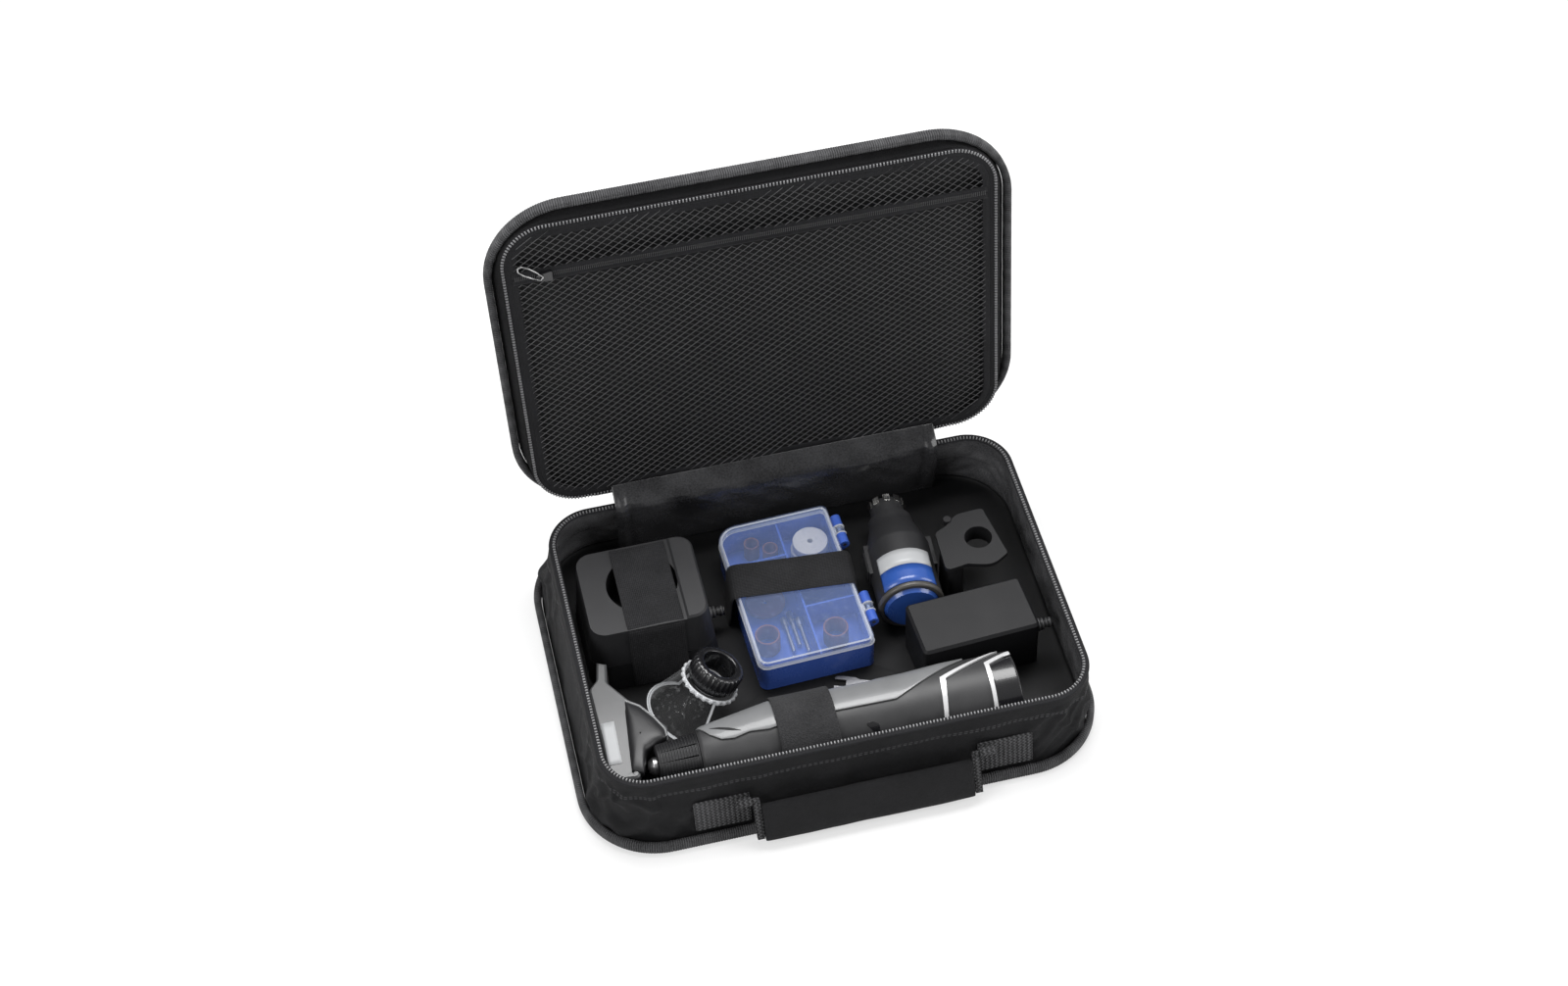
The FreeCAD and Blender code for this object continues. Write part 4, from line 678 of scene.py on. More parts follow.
def even(line: np.ndarray, pitch: float, closed: bool = True) -> tuple[np.ndarray, np.ndarray]:
    """Evenly spaced places along a line.

    Args:
        line: points of three numbers.
        pitch: the least distance between places, in the same unit.
        closed: whether the line closes.

    Returns:
        The places and the line's direction at each.
    """
    path = np.concatenate([line, line[:1]]) if closed else line
    lengths = np.concatenate([[0.0], np.cumsum(np.linalg.norm(np.diff(path, axis=0), axis=1))])
    count = int(lengths[-1] / pitch)
    stations = (np.arange(count) + 0.5) * lengths[-1] / count
    places = np.stack([np.interp(stations, lengths, path[:, i]) for i in range(3)], axis=1)
    ahead = np.stack([np.interp(stations + 0.4, lengths, path[:, i]) for i in range(3)], axis=1) - places
    norms = np.linalg.norm(ahead, axis=1)
    norms[norms < 1e-9] = 1.0
    return places, ahead / norms[:, None]


def teeth(
    name: str, line: np.ndarray, pitch: float, wide: float, high: float, closed: bool = True
) -> bpy.types.Object:
    """A row of zip teeth along a line, standing up along Z.

    Args:
        name: the object's name.
        line: the line through the teeth's feet.
        pitch: from tooth to tooth.
        wide: across the line.
        high: upward; less than nought for teeth that hang down.
        closed: whether the line closes.

    Returns:
        The teeth as one object.
    """
    places, ahead = even(line, pitch, closed)
    side = np.stack([ahead[:, 1], -ahead[:, 0], np.zeros(len(ahead))], axis=1)
    up = np.array([0.0, 0.0, high])
    signs = ((-1, -1), (1, -1), (1, 1), (-1, 1))
    blocks = []
    for place, forward, across in zip(places, ahead, side):
        foot = [place + forward * a * pitch * 0.22 + across * b * wide * 0.5 for a, b in signs]
        top = [place + forward * a * pitch * 0.15 + across * b * wide * 0.42 + up for a, b in signs]
        if high < 0:
            foot, top = top, foot
        blocks.append(foot + top)
    return blocks_mesh(name, np.array(blocks))


def sweep_ring(
    name: str, outline: Outline, profile: Sequence[Pair], ribs: float = 0.0, rib_depth: float = 0.0
) -> bpy.types.Object:
    """A closed moulding that follows an outline.

    Args:
        name: the object's name.
        outline: the path.
        profile: closed section as (outward, height).
        ribs: the pitch of ribs along the path, or nought for none.
        rib_depth: how deep the ribs are.

    Returns:
        The moulding.
    """
    line, out = outline.points(), outline.normals()
    middle = np.array(profile).mean(axis=0)
    if ribs:
        places, ahead = even(outline.at(0.0), ribs / 4)
        line = places[:, :2]
        out = np.stack([ahead[:, 1], -ahead[:, 0]], axis=1)
    rows = []
    wave = (np.arange(len(line)) % 4 == 0) * -rib_depth
    for aside, height in profile:
        dx, dz = aside - middle[0], height - middle[1]
        size = math.hypot(dx, dz) or 1.0
        reach = aside + wave * dx / size
        level = height + wave * dz / size
        xy = line + out * reach[:, None]
        rows.append(np.concatenate([xy, level[:, None]], axis=1))
    return sheet_mesh(name, np.array(rows), around=True, tube=True, flip=True)


def rounded_section(wide: float, high: float, x: float, z: float, steps: int) -> list[Pair]:
    """A box section whose ends are fully rounded.

    Args:
        wide: its width.
        high: its height.
        x: its middle, outward.
        z: its middle, upward.
        steps: points per corner.

    Returns:
        The closed section, clockwise seen with outward to the right.
    """
    r = min(wide, high) / 2
    line: list[Pair] = []
    for index, (sx, sz) in enumerate(((1, 1), (1, -1), (-1, -1), (-1, 1))):
        for step in range(steps):
            angle = math.radians(90 - 90 * index - 90 * step / (steps - 1))
            across = x + sx * (wide / 2 - r) + r * math.cos(angle)
            line.append((across, z + sz * (high / 2 - r) + r * math.sin(angle)))
    return line


@dataclass
class Finishes:
    made: dict[str, bpy.types.Material] = field(default_factory=dict)

    def get(self, finish: Cloth | Moulded | Metal | Clear) -> bpy.types.Material:
        """The material of a finish, built once.

        Args:
            finish: what to build.

        Returns:
            The material.
        """
        if finish.name not in self.made:
            self.made[finish.name] = finish.build()
        return self.made[finish.name]


OUTER = Cloth(
    "woven_outer", (0.0015, 0.0015, 0.002), (0.019, 0.019, 0.021), Weave.PLAIN, 1.05, 0.4, 0.8, 0.015
)
OUTER_SEAMED = replace(OUTER, name="woven_outer_seamed", stitches=(39.5, 41.0))
BINDING = Cloth(
    "binding_tape", (0.005, 0.005, 0.006), (0.12, 0.12, 0.125), Weave.RIBS, 1.5, 0.4, 0.66, 0.04
)
DULL_SATIN = Cloth(
    "dull_lining", (0.002, 0.002, 0.0025), (0.01, 0.01, 0.011), Weave.PLAIN, 0.6, 0.05, 0.6, 0.01
)
# The hinge flap's satin, given a much lighter end for its patches: painted highlights on the flap.
SATIN_FLAP_HIGHLIT = Cloth(
    "satin_flap", (0.006, 0.006, 0.007), (0.085, 0.085, 0.09), Weave.SATIN, 0.6, 0.05, 0.22, 0.02
)
# The lining's satin on the walls, painted far lighter than the same satin on the floor and under the lid:
# painted light on its folds.
LINER_LIT = Cloth("satin_walls", (0.05, 0.05, 0.053), (0.26, 0.26, 0.27), Weave.SATIN, 0.6, 0.05, 0.2, 0.02)
TAPE = Cloth(
    "zip_tape", (0.004, 0.004, 0.005), (0.022, 0.022, 0.025), Weave.ELASTIC, 0.8, 0.12, 0.74, 0.03
)
WEBBING = Cloth(
    "webbing", (0.001, 0.001, 0.0015), (0.11, 0.11, 0.115), Weave.CHEVRON, 2.8, 0.6, 0.65, 0.02
)
BLACK_BAND = Cloth(
    "elastic_black", (0.007, 0.007, 0.008), (0.038, 0.038, 0.041), Weave.ELASTIC, 1.1, 0.25, 0.82, 0.03
)
GREY_BAND = Cloth(
    "worn_band", (0.008, 0.008, 0.009), (0.07, 0.07, 0.073), Weave.FUZZ, 1.0, 0.8, 0.88, 0.05
)
# Lit and shaded copies of the net's strand colour: the strands in front are painted lighter and those behind
# them darker, painted light and shade.
NET_LIT = Moulded("net_strand", (0.055, 0.055, 0.057), (0.15, 0.15, 0.155), 0.45, 1500.0, 0.02)
NET_SHADED = Moulded("net_strand_back", (0.03, 0.03, 0.031), (0.085, 0.085, 0.088), 0.5, 1500.0, 0.02)
TOOTH = Moulded("zip_tooth", (0.11, 0.11, 0.114), (0.33, 0.33, 0.34), 0.4, 1500.0, 0.01)
BLACK = Moulded(
    "black_plastic", (0.005, 0.005, 0.006), (0.012, 0.012, 0.0135), 0.55, 2600.0, 0.04, shine=0.3
)
PALER_BLACK = Moulded(
    "paler_black", (0.008, 0.008, 0.009), (0.018, 0.018, 0.0195), 0.55, 2600.0, 0.03, shine=0.3
)
HOUSING = Moulded(
    "battery_housing", (0.013, 0.013, 0.0145), (0.03, 0.03, 0.032), 0.5, 1800.0, 0.05, shine=0.35
)
# The two ribbed finishes below paint their rib crests lighter: a painted highlight.
RELIEF = Moulded(
    "ribbed_relief", (0.006, 0.006, 0.007), (0.09, 0.09, 0.093), 0.42, 2600.0, 0.5, ribs=2.3
)
NOSE = Moulded("ribbed_cap", (0.006, 0.006, 0.007), (0.022, 0.022, 0.024), 0.45, 2600.0, 0.35, ribs=1.7)
GLOSS_BLACK = Moulded(
    "gloss_black", (0.005, 0.005, 0.006), (0.014, 0.014, 0.016), 0.26, 2600.0, 0.01, 0.5
)
RUBBER = Moulded("soft_rubber", (0.017, 0.017, 0.018), (0.056, 0.056, 0.058), 0.48, 1800.0, 0.05)
DOTTED = Moulded(
    "dotted_rubber", (0.01, 0.01, 0.011), (0.03, 0.03, 0.032), 0.55, 1800.0, 0.12, dots=2.4
)
LIGHT = Moulded("light_grey", (0.145, 0.148, 0.151), (0.25, 0.254, 0.26), 0.36, 2400.0, 0.01, 0.3)
GRIP = Moulded("grip_grey", (0.062, 0.063, 0.065), (0.12, 0.122, 0.125), 0.4, 2400.0, 0.01, 0.3)
SILVER = Moulded("silver_trim", (0.66, 0.66, 0.67), (0.86, 0.86, 0.87), 0.3, 2400.0, 0.008, 0.4, 0.25)
BLUE = Moulded("blue_plastic", (0.02, 0.065, 0.29), (0.035, 0.11, 0.42), 0.3, 1200.0, 0.006, 0.5)
# The tray's blue, painted lighter than the battery's blue to light the tray's shaded faces: painted light.
TRAY_LIT = Moulded("blue_tray", (0.045, 0.105, 0.44), (0.07, 0.16, 0.64), 0.26, 1200.0, 0.006, 0.6)
PAD = Moulded("pad_rubber", (0.008, 0.008, 0.009), (0.024, 0.024, 0.026), 0.42, 1800.0, 0.02)
RING = Moulded("ring_plastic", (0.06, 0.056, 0.052), (0.12, 0.114, 0.106), 0.42, 2400.0, 0.02, 0.2, 0.3)
FELT = Moulded("felt", (0.6, 0.58, 0.54), (0.82, 0.8, 0.76), 0.9, 900.0, 0.2)
GRIT = Moulded("grit", (0.09, 0.03, 0.02), (0.27, 0.11, 0.07), 0.85, 3200.0, 0.1)
BOARD = Moulded("circuit_board", (0.01, 0.09, 0.04), (0.02, 0.14, 0.06), 0.4, 900.0, 0.01, 0.3)
WHITE = Moulded("bare_plate", (0.42, 0.43, 0.44), (0.52, 0.53, 0.54), 0.5, 1600.0, 0.006)
GREY_PLATE = Moulded("bare_grey_plate", (0.4, 0.41, 0.42), (0.5, 0.51, 0.52), 0.42, 1600.0, 0.006, 0.2)
STEEL = Metal("steel", (0.62, 0.62, 0.63), 0.3)
DARK_STEEL = Metal("dark_steel", (0.26, 0.26, 0.27), 0.42)
WIRE = Metal("bright_wire", (0.6, 0.6, 0.6), 0.25)
BRASS = Metal("contact_metal", (0.92, 0.91, 0.88), 0.16)
BOX_CLEAR = Clear("clear_lid", (0.34, 0.48, 0.88), 0.13, 0.4, 24.0, 27.6)
GUARD_CLEAR = Clear("clear_guard", (0.9, 0.92, 0.94), 0.005, 0.6)
# Whitish half-clear plastic for beads on clear edges and for the guard's collar teeth: a painted highlight.
CLEAR_EDGE_HIGHLIGHT = Clear("clear_edge", (0.88, 0.9, 0.93), 0.5, 0.45)


@dataclass
class Dresser:
    """A builder of pieces, which gives each its material and body."""

    finishes: Finishes

    def dress(
        self,
        item: bpy.types.Object,
        finish: Cloth | Moulded | Metal | Clear,
        body: str,
        slot: str,
        nodes: Iterable[str] = (),
    ) -> bpy.types.Object:
        """Gives a piece its material and body.

        Args:
            item: the piece.
            finish: its finish.
            body: the CAD body that it rides on.
            slot: the record's material slot; not used.
            nodes: CAD nodes that it stands for.

        Returns:
            The piece.
        """
        item.data.materials.append(self.finishes.get(finish))
        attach(item, body)
        if nodes:
            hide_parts(*nodes)
        LOG.info("piece %s on %s", item.name, body)
        return item


# The case

LID_ANGLE = 96.2  # degrees that the lid is turned open
HINGE = (0.0, 106.4, 53.0)  # the lid's axes on the rim
HEM_DEEP = 12.0  # the outer wall's doubled hem
CELL_WIDE, CELL_HIGH = 6.4, 4.35  # one diamond of the net
PINCH = 0.0005  # what is left of a ring that closes a sheet
PIVOT_DEPTH, PIVOT_HEIGHT, PIVOT_MIDDLE = 3.3, 31.0, 3.0  # the handle's axis


def lid_place(item: bpy.types.Object) -> bpy.types.Object:
    """Turns a piece made in the lid's own axes to where the open lid is.

    Args:
        item: the piece.

    Returns:
        The same piece, its mesh moved.
    """
    turn = Matrix.Rotation(math.radians(LID_ANGLE), 4, Vector((-1, 0, 0)))
    item.data.transform(Matrix.Translation(Vector(HINGE) * MM) @ turn)
    return item


def pinch(ring: np.ndarray, middle: np.ndarray | float = 0.0) -> None:
    """Draws a ring together round its middle, to close a sheet there."""
    ring[:, :2] = middle + (ring[:, :2] - middle) * PINCH


def handle_pivot() -> Vector:
    """The middle of the line that the handle turns about, in millimetres."""
    return Vector((PIVOT_MIDDLE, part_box("handle_tabs")[0].y / MM + PIVOT_DEPTH, PIVOT_HEIGHT))


@dataclass
class CaseSizes:
    """The case's sizes in millimetres, as in the solids."""

    rim: Outline = Outline(-145.0, 145.0, -107.0, 103.0, 28.0)
    foot: Outline = Outline(-159.0, 152.0, -120.0, 120.0, 48.0)
    binding: float = 4.5
    binding_high: float = 8.5
    rim_top: float = 52.7
    tape_low: float = 50.4
    lid_rim: Outline = Outline(-145.0, 145.0, -213.4, -3.4, 28.0)
    lid_panel: Outline = Outline(-150.5, 150.5, -218.9, -3.4, 45.5)
    lid_binding_high: float = 8.0
    lid_under: float = 9.0
    net_level: float = 1.8
    pocket_y: float = -178.9

    def board_line(self) -> Outline:
        """The edge of the base board."""
        return self.foot.grown(-self.binding)


@dataclass
class Shell(Dresser):
    """What the base and the lid share: their sizes and the two halves of the main zip."""

    sizes: CaseSizes = field(default_factory=CaseSizes)
    rib_deep: float = 0.3
    zip_wide: float = 4.8
    tooth_pitch: float = 2.0
    tooth_wide: float = 1.7
    tooth_high: float = 0.9

    def binding(self, name: str, outline: Outline, x: float, z: float, high: float) -> bpy.types.Object:
        """The ribbed binding of a board.

        Args:
            name: the piece's name.
            outline: the line that it follows.
            x: its section's middle, outward.
            z: its section's middle, upward.
            high: its height.

        Returns:
            The binding.
        """
        section = rounded_section(self.sizes.binding, high, x, z, 5)
        return sweep_ring(name, outline, section, BINDING.pitch, self.rib_deep)

    def zip_half(
        self, name: str, outline: Outline, levels: Pair, inset: float, body: str, hang: bool
    ) -> None:
        """One half of the main zip: its tape and its teeth.

        Args:
            name: the pieces' first words.
            outline: the rim.
            levels: the tape's low and high faces.
            inset: from the rim to the middle of the teeth.
            body: the body that it rides on.
            hang: whether it is the lid's half, whose teeth point down in the lid's axes.
        """
        low, high = levels
        if hang:
            low += self.tooth_high
        else:
            high -= self.tooth_high
        section = rounded_section(self.zip_wide, high - low, -self.zip_wide / 2, (low + high) / 2, 4)
        tape = sweep_ring(name + "_tape", outline, section)
        foot = outline.grown(-inset).at(low if hang else high)
        rise = -self.tooth_high if hang else self.tooth_high
        row = teeth(name + "_teeth", foot, self.tooth_pitch, self.tooth_wide, rise)
        if hang:
            lid_place(tape)
            lid_place(row)
        self.dress(tape, TAPE, body, "zip", [name + "_tape"])
        self.dress(row, TOOTH, body, "zip")


@dataclass
class Base(Shell):
    """The base: its board, wall, lining, half of the zip, handle tabs and the cloth at its hinge."""

    board_rings: tuple[Pair, ...] = (
        (42, 0.0), (30, 0.0), (2.5, 0.0), (0.3, 0.8), (0.3, 2.2), (2.5, 3.0), (42, 3.0),
    )
    floor_rings: tuple[Pair, ...] = (
        (39, 3.7), (39, 3.75), (28, 3.8), (18, 3.85), (10, 3.8), (5, 3.9), (1.6, 4.3),
    )
    board_top: float = 3.0
    lining_inset: float = 3.1
    tab_reach: float = 67.0
    tab_wide: float = 33.0
    tab_low: float = 10.6
    tab_high: float = 22.0
    loop_wide: float = 9.0
    loop_radius: float = 2.6
    gusset_path: tuple[Pair, ...] = (
        (104.6, 4.8), (103.0, 12.0), (100.6, 22.0), (98.2, 32.0), (96.4, 41.0), (95.8, 47.0),
        (96.1, 51.4), (97.4, 54.4), (100.2, 57.2), (103.8, 59.8), (107.9, 62.8),
    )
    gusset_sides: Pair = (-100.0, 103.0)

    def board(self) -> None:
        """The covered board under the case, with its ribbed binding."""
        line = self.sizes.board_line()
        points = np.array([line.grown(-inset).at(level) for inset, level in self.board_rings])
        pinch(points[0])
        pinch(points[-1])
        item = sheet_mesh("base_board_cover", points, around=True)
        self.dress(item, OUTER, "case_base", "stiff_board", ["base_board"])
        wide, high = self.sizes.binding, self.sizes.binding_high
        edge = self.binding("base_binding_tape", self.sizes.foot, -wide / 2, high / 2, high)
        self.dress(edge, BINDING, "case_base", "binding", ["base_binding"])

    def wall_points(
        self, inset: float, low: float, rows: int, folds: float, seed: float, bulge: float = 0.0
    ) -> np.ndarray:
        """The sloping wall with its folds.

        Args:
            inset: how far inside the solid's outer face.
            low: the height of its lower edge.
            rows: how many rows.
            folds: how deep the folds are.
            seed: shifts the folds.
            bulge: how much farther the outer cloth's folds stand out at the corners; nought for the lining.

        Returns:
            Rows of points.
        """
        bottom, top = self.sizes.board_line().grown(-inset), self.sizes.rim.grown(-inset)
        out = top.normals()
        first, last = bottom.at(low), top.at(self.sizes.tape_low + 0.8)
        shares = np.linspace(0, 1, rows)[:, None]
        grid = first[None] + (last - first)[None] * shares[..., None]
        steps = np.linalg.norm(np.diff(first, axis=0, prepend=first[-1:]), axis=1)
        around = np.broadcast_to(np.cumsum(steps), grid.shape[:2])
        height = np.broadcast_to(shares * (self.sizes.tape_low - low), grid.shape[:2])
        corner = np.abs(grid[..., 0] / self.sizes.rim.x1) ** 3 * np.abs(grid[..., 1] / self.sizes.rim.y0) ** 2
        corner = np.minimum(corner, 1.0)
        wave = ripple(grid, 46.0, seed + 1) * folds * 0.6
        for lean, shift in ((0.62, 0.0), (-0.8, 9.0)):
            across = around * math.cos(lean) + height * math.sin(lean)
            along = height * math.cos(lean) - around * math.sin(lean)
            places = np.stack([across / 15.0, along / 44.0, np.full(across.shape, seed + shift)], axis=2)
            ridge = 1.0 - np.minimum(np.abs(ripple(places, 1.0, seed + shift)) * 3.2, 1.0)
            wave += (ridge**1.6 - 0.25) * folds * (0.35 + corner * 1.2)
            wave += ridge**1.6 * corner * bulge
        push = wave * np.sin(np.pi * np.clip(shares * 1.12, 0, 1)) ** 0.6
        hem = (self.sizes.tape_low - height < HEM_DEEP) & (height < self.sizes.tape_low - low - 0.6)
        push = push + np.where(hem, 0.5, 0.0)
        behind = (grid[..., 1] > 90.0) & (height > 24.0)
        push = np.where(behind, np.minimum(push, -0.4), push)
        push = np.maximum(push, -0.5) if bulge else np.minimum(push, 0.3)
        grid[..., :2] += out[None] * push[..., None]
        return grid

    def walls(self) -> None:
        """The woven wall, with the seams of its hem."""
        grid = self.wall_points(inset=0.9, low=self.board_top, rows=40, folds=2.4, seed=2.0, bulge=1.7)
        item = sheet_mesh("base_wall_cloth", grid, around=True)
        thicken(item, 1.2)
        smooth(item)
        self.dress(item, OUTER_SEAMED, "case_base", "case_fabric", ["base_wall"])

    def lining(self) -> None:
        """The satin lining: the floor's sheet with the wall's foot, and the puckered wall."""
        wall = self.wall_points(inset=self.lining_inset, low=5.5, rows=34, folds=2.2, seed=5.0)
        bottom = self.sizes.board_line().grown(-self.lining_inset)
        floor = np.array([bottom.grown(-inset).at(level) for inset, level in self.floor_rings])
        pinch(floor[0])
        lift = ripple(floor, 24.0, 8.0) * 0.25
        floor[1:-1, :, 2] += np.clip(lift[1:-1], -0.25, 0.25)
        pucker = ripple(wall * np.array([1.0, 1.0, 0.45]), 9.0, 3.3) * 1.1
        pucker += ripple(wall * np.array([0.7, 0.7, 1.0]), 17.0, 6.3) * 1.3
        shares = np.linspace(0, 1, len(wall))[:, None]
        hold = np.clip(np.minimum(shares, 1 - shares) * 9, 0, 1)
        out = self.sizes.rim.normals()
        wall[..., :2] += out[None] * (np.clip(pucker - 0.6, -2.6, 0.2) * hold)[..., None]
        low = sheet_mesh("satin_floor", np.concatenate([floor, wall[:2]]), around=True, flip=True)
        smooth(low)
        self.dress(low, DULL_SATIN, "case_base", "liner_satin")
        # The wall takes the lighter copy of the lining's satin: painted light.
        item = sheet_mesh("satin_liner", wall, around=True, flip=True)
        smooth(item)
        self.dress(item, LINER_LIT, "case_base", "liner_satin", ["base_liner"])

    def tabs(self) -> None:
        """The two webbing patches that hold the handle, with their loops."""
        bottom, top = self.sizes.board_line(), self.sizes.rim
        pivot = handle_pivot()
        for side, word in ((-1, "left"), (1, "right")):
            start = pivot.x + (self.tab_reach if side > 0 else -(self.tab_reach + self.tab_wide))
            rows = []
            for z in np.linspace(self.tab_low, self.tab_low + self.tab_high, 14):
                share = (z - self.board_top) / (self.sizes.tape_low - self.board_top)
                y = bottom.y0 + (top.y0 - bottom.y0) * share - 1.4
                rows.append([(x, y, z) for x in np.linspace(start, start + self.tab_wide, 24)])
            grid = np.array(rows)
            grid[..., 1] -= ripple(grid, 12.0, 4.0) * 0.25
            item = sheet_mesh(f"handle_tab_{word}", grid)
            thicken(item, 1.3, 0.0)
            smooth(item)
            self.dress(item, WEBBING, "case_base", "webbing", ["handle_tabs"] if side < 0 else [])
            near = start + (0.0 if side > 0 else self.tab_wide - self.loop_wide)
            xs = np.linspace(near, near + self.loop_wide, 8)
            loop = bar(f"handle_loop_{word}", xs, (pivot.y, pivot.z), self.loop_radius, 18, True)
            thicken(loop, 0.9)
            self.dress(loop, WEBBING, "case_base", "webbing")

    def gusset(self) -> None:
        """The satin flap inside the hinge, with its hanging creases."""
        fine = []
        for a, b in zip(self.gusset_path, self.gusset_path[1:]):
            for t in np.linspace(0, 1, 5, endpoint=False):
                fine.append((a[0] + (b[0] - a[0]) * t, a[1] + (b[1] - a[1]) * t))
        fine.append(self.gusset_path[-1])
        grid = np.array([[(x, y, z) for x in np.linspace(*self.gusset_sides, 130)] for y, z in fine])
        crease = ripple(grid * np.array([1.0, 0.4, 0.16]), 13.0, 12.0)
        broad = ripple(grid * np.array([0.5, 0.5, 0.5]), 30.0, 15.0)
        drawn = grid[..., 0] * 0.6 + grid[..., 2] * 0.9
        swept = grid[..., 0] * 0.25 - grid[..., 2] * 0.2
        slant = ripple(np.stack([drawn, swept, grid[..., 1] * 0.2], axis=2), 11.0, 19.0)
        share = np.sin(np.linspace(0, np.pi, len(fine)))[:, None] ** 0.7
        aside = np.abs(grid[..., 0] - sum(self.gusset_sides) / 2)
        ends = np.exp(-((aside - 97.0) ** 2) / 5.0) * 2.2 - np.exp(-((aside - 92.5) ** 2) / 5.0) * 1.4
        grid[..., 1] -= np.clip((crease * 0.9 + slant * 1.7 + broad * 1.6 + ends) * share + 0.4, -0.5, 3.2)
        item = sheet_mesh("hinge_gusset_cloth", grid, flip=True)
        thicken(item, 0.6, 0.0)
        smooth(item)
        # The flap's lighter patches are painted highlights.
        item.data.materials.append(self.finishes.get(SATIN_FLAP_HIGHLIT))
        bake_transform(item)
        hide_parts("hinge_gusset")
        LOG.info("piece %s between case_base and lid", item.name)

    def build(self) -> None:
        """Makes every piece of the base, and the gusset."""
        self.board()
        self.walls()
        self.lining()
        levels = (self.sizes.tape_low, self.sizes.rim_top)
        self.zip_half("base_zip", self.sizes.rim, levels, inset=3.2, body="case_base", hang=False)
        self.tabs()
        self.gusset()


@dataclass
class Lid(Shell):
    """The lid, made lying flat in its own axes and then turned open."""

    panel_rings: tuple[Pair, ...] = (
        (42, 12.0), (20, 12.0), (2.0, 11.9), (0.2, 11.0), (0.2, 9.6), (2.0, 9.0), (42, 9.0),
    )
    lining_inset: float = 2.6
    net_inset: float = 4.6
    pocket_gap: float = 3.4
    pocket_reach: float = 139.0

    def panel(self) -> None:
        """The covered panel with its binding."""
        s = self.sizes
        points = np.array([s.lid_panel.grown(-inset).at(level) for inset, level in self.panel_rings])
        for face in (points[0], points[-1]):
            pinch(face, face[:, :2].mean(axis=0))
        panel = lid_place(sheet_mesh("lid_panel_cover", points, around=True, flip=True))
        self.dress(panel, OUTER, "lid", "stiff_board", ["lid_panel"])
        high = s.lid_binding_high
        edge = lid_place(self.binding("lid_binding_tape", s.lid_panel, s.binding / 2, high, high))
        self.dress(edge, BINDING, "lid", "binding", ["lid_binding"])

    def wall(self) -> None:
        """The lid's sloping wall."""
        s = self.sizes
        low, high = s.lid_rim.at(2.4), s.lid_panel.grown(-0.6).at(s.lid_under)
        aside, upward = np.array([1, 1, 0]), np.array([0, 0, 1])
        shares = np.linspace(0, 1, 8)
        grid = np.array([low + (high - low) * (t**0.8 * aside + t * upward) for t in shares])
        hold = np.sin(np.pi * shares)[:, None]
        grid[..., :2] += s.lid_rim.normals()[None] * (ripple(grid, 16.0, 21.0) * 0.35 * hold)[..., None]
        cloth = lid_place(sheet_mesh("lid_wall_cloth", grid, around=True))
        thicken(cloth, 1.2)
        self.dress(cloth, OUTER, "lid", "case_fabric", ["lid_wall"])

    def lining(self) -> None:
        """The wrinkled satin lining behind the net."""
        half_x, half_y, r, middle = self.sizes.lid_rim.grown(-self.lining_inset).halves()
        gx, gy = np.meshgrid(np.linspace(-1, 1, 150), np.linspace(-1, 1, 110))
        px, py = gx * half_x, gy * half_y
        over_x, over_y = np.abs(px) - (half_x - r), np.abs(py) - (half_y - r)
        reach = np.hypot(np.maximum(over_x, 0), np.maximum(over_y, 0))
        inside = (over_x > 0) & (over_y > 0)
        pull = np.where(inside & (reach > r), r / np.maximum(reach, 1e-6), 1.0)
        corner_x, corner_y = np.sign(px) * (half_x - r), np.sign(py) * (half_y - r)
        px = np.where(inside, corner_x + (px - corner_x) * pull, px)
        py = np.where(inside, corner_y + (py - corner_y) * pull, py)
        edge = np.minimum(half_x - np.abs(px), half_y - np.abs(py))
        depth = 7.6 - 5.0 * np.exp(-np.maximum(edge, 0) / 3.5)
        grid = np.stack([px, py + middle, depth], axis=2)
        folds = ripple(grid * np.array([0.8, 0.35, 1.0]), 15.0, 30.0) * 1.1
        folds += ripple(grid * np.array([0.5, 1.2, 1.0]), 34.0, 33.0) * 0.9
        grid[..., 2] -= np.clip(folds + 0.2, 0.0, 2.2) * np.clip(edge / 10.0, 0, 1)
        item = lid_place(sheet_mesh("lid_lining_cloth", grid))
        smooth(item)
        self.dress(item, DULL_SATIN, "lid", "liner_satin")

    def strands(self, lean: int) -> list[np.ndarray]:
        """The net's strands that run one way, cut off at the hem and at the pocket's zip.

        Args:
            lean: 1 for the strands that rise to the right, -1 for those that fall.

        Returns:
            The strands, each with a point at every knot.
        """
        half_x, half_y, r, middle = self.sizes.lid_rim.grown(-self.net_inset).halves()
        reach = int(half_x / (CELL_WIDE / 2)) + 1
        extent = reach + int(half_y / (CELL_HIGH / 2)) + 1
        steps = np.arange(-reach, reach + 1)
        xs = steps * CELL_WIDE / 2
        runs: list[np.ndarray] = []
        for line in range(-extent // 2, extent // 2 + 1):
            ys = (steps * lean + 2 * line) * CELL_HIGH / 2
            over_x, over_y = np.abs(xs) - (half_x - r), np.abs(ys) - (half_y - r)
            round_corner = np.hypot(np.maximum(over_x, 0), np.maximum(over_y, 0)) < r
            inside = (over_x < r) & (over_y < r) & round_corner
            inside &= np.abs(ys + middle - self.sizes.pocket_y) > self.pocket_gap
            breaks = np.flatnonzero(np.diff(np.concatenate([[0], inside.astype(int), [0]])))
            for start, end in zip(breaks[::2], breaks[1::2]):
                if end - start > 1:
                    flat = np.zeros(end - start)
                    runs.append(np.stack([xs[start:end], ys[start:end] + middle, flat], axis=1))
        return runs

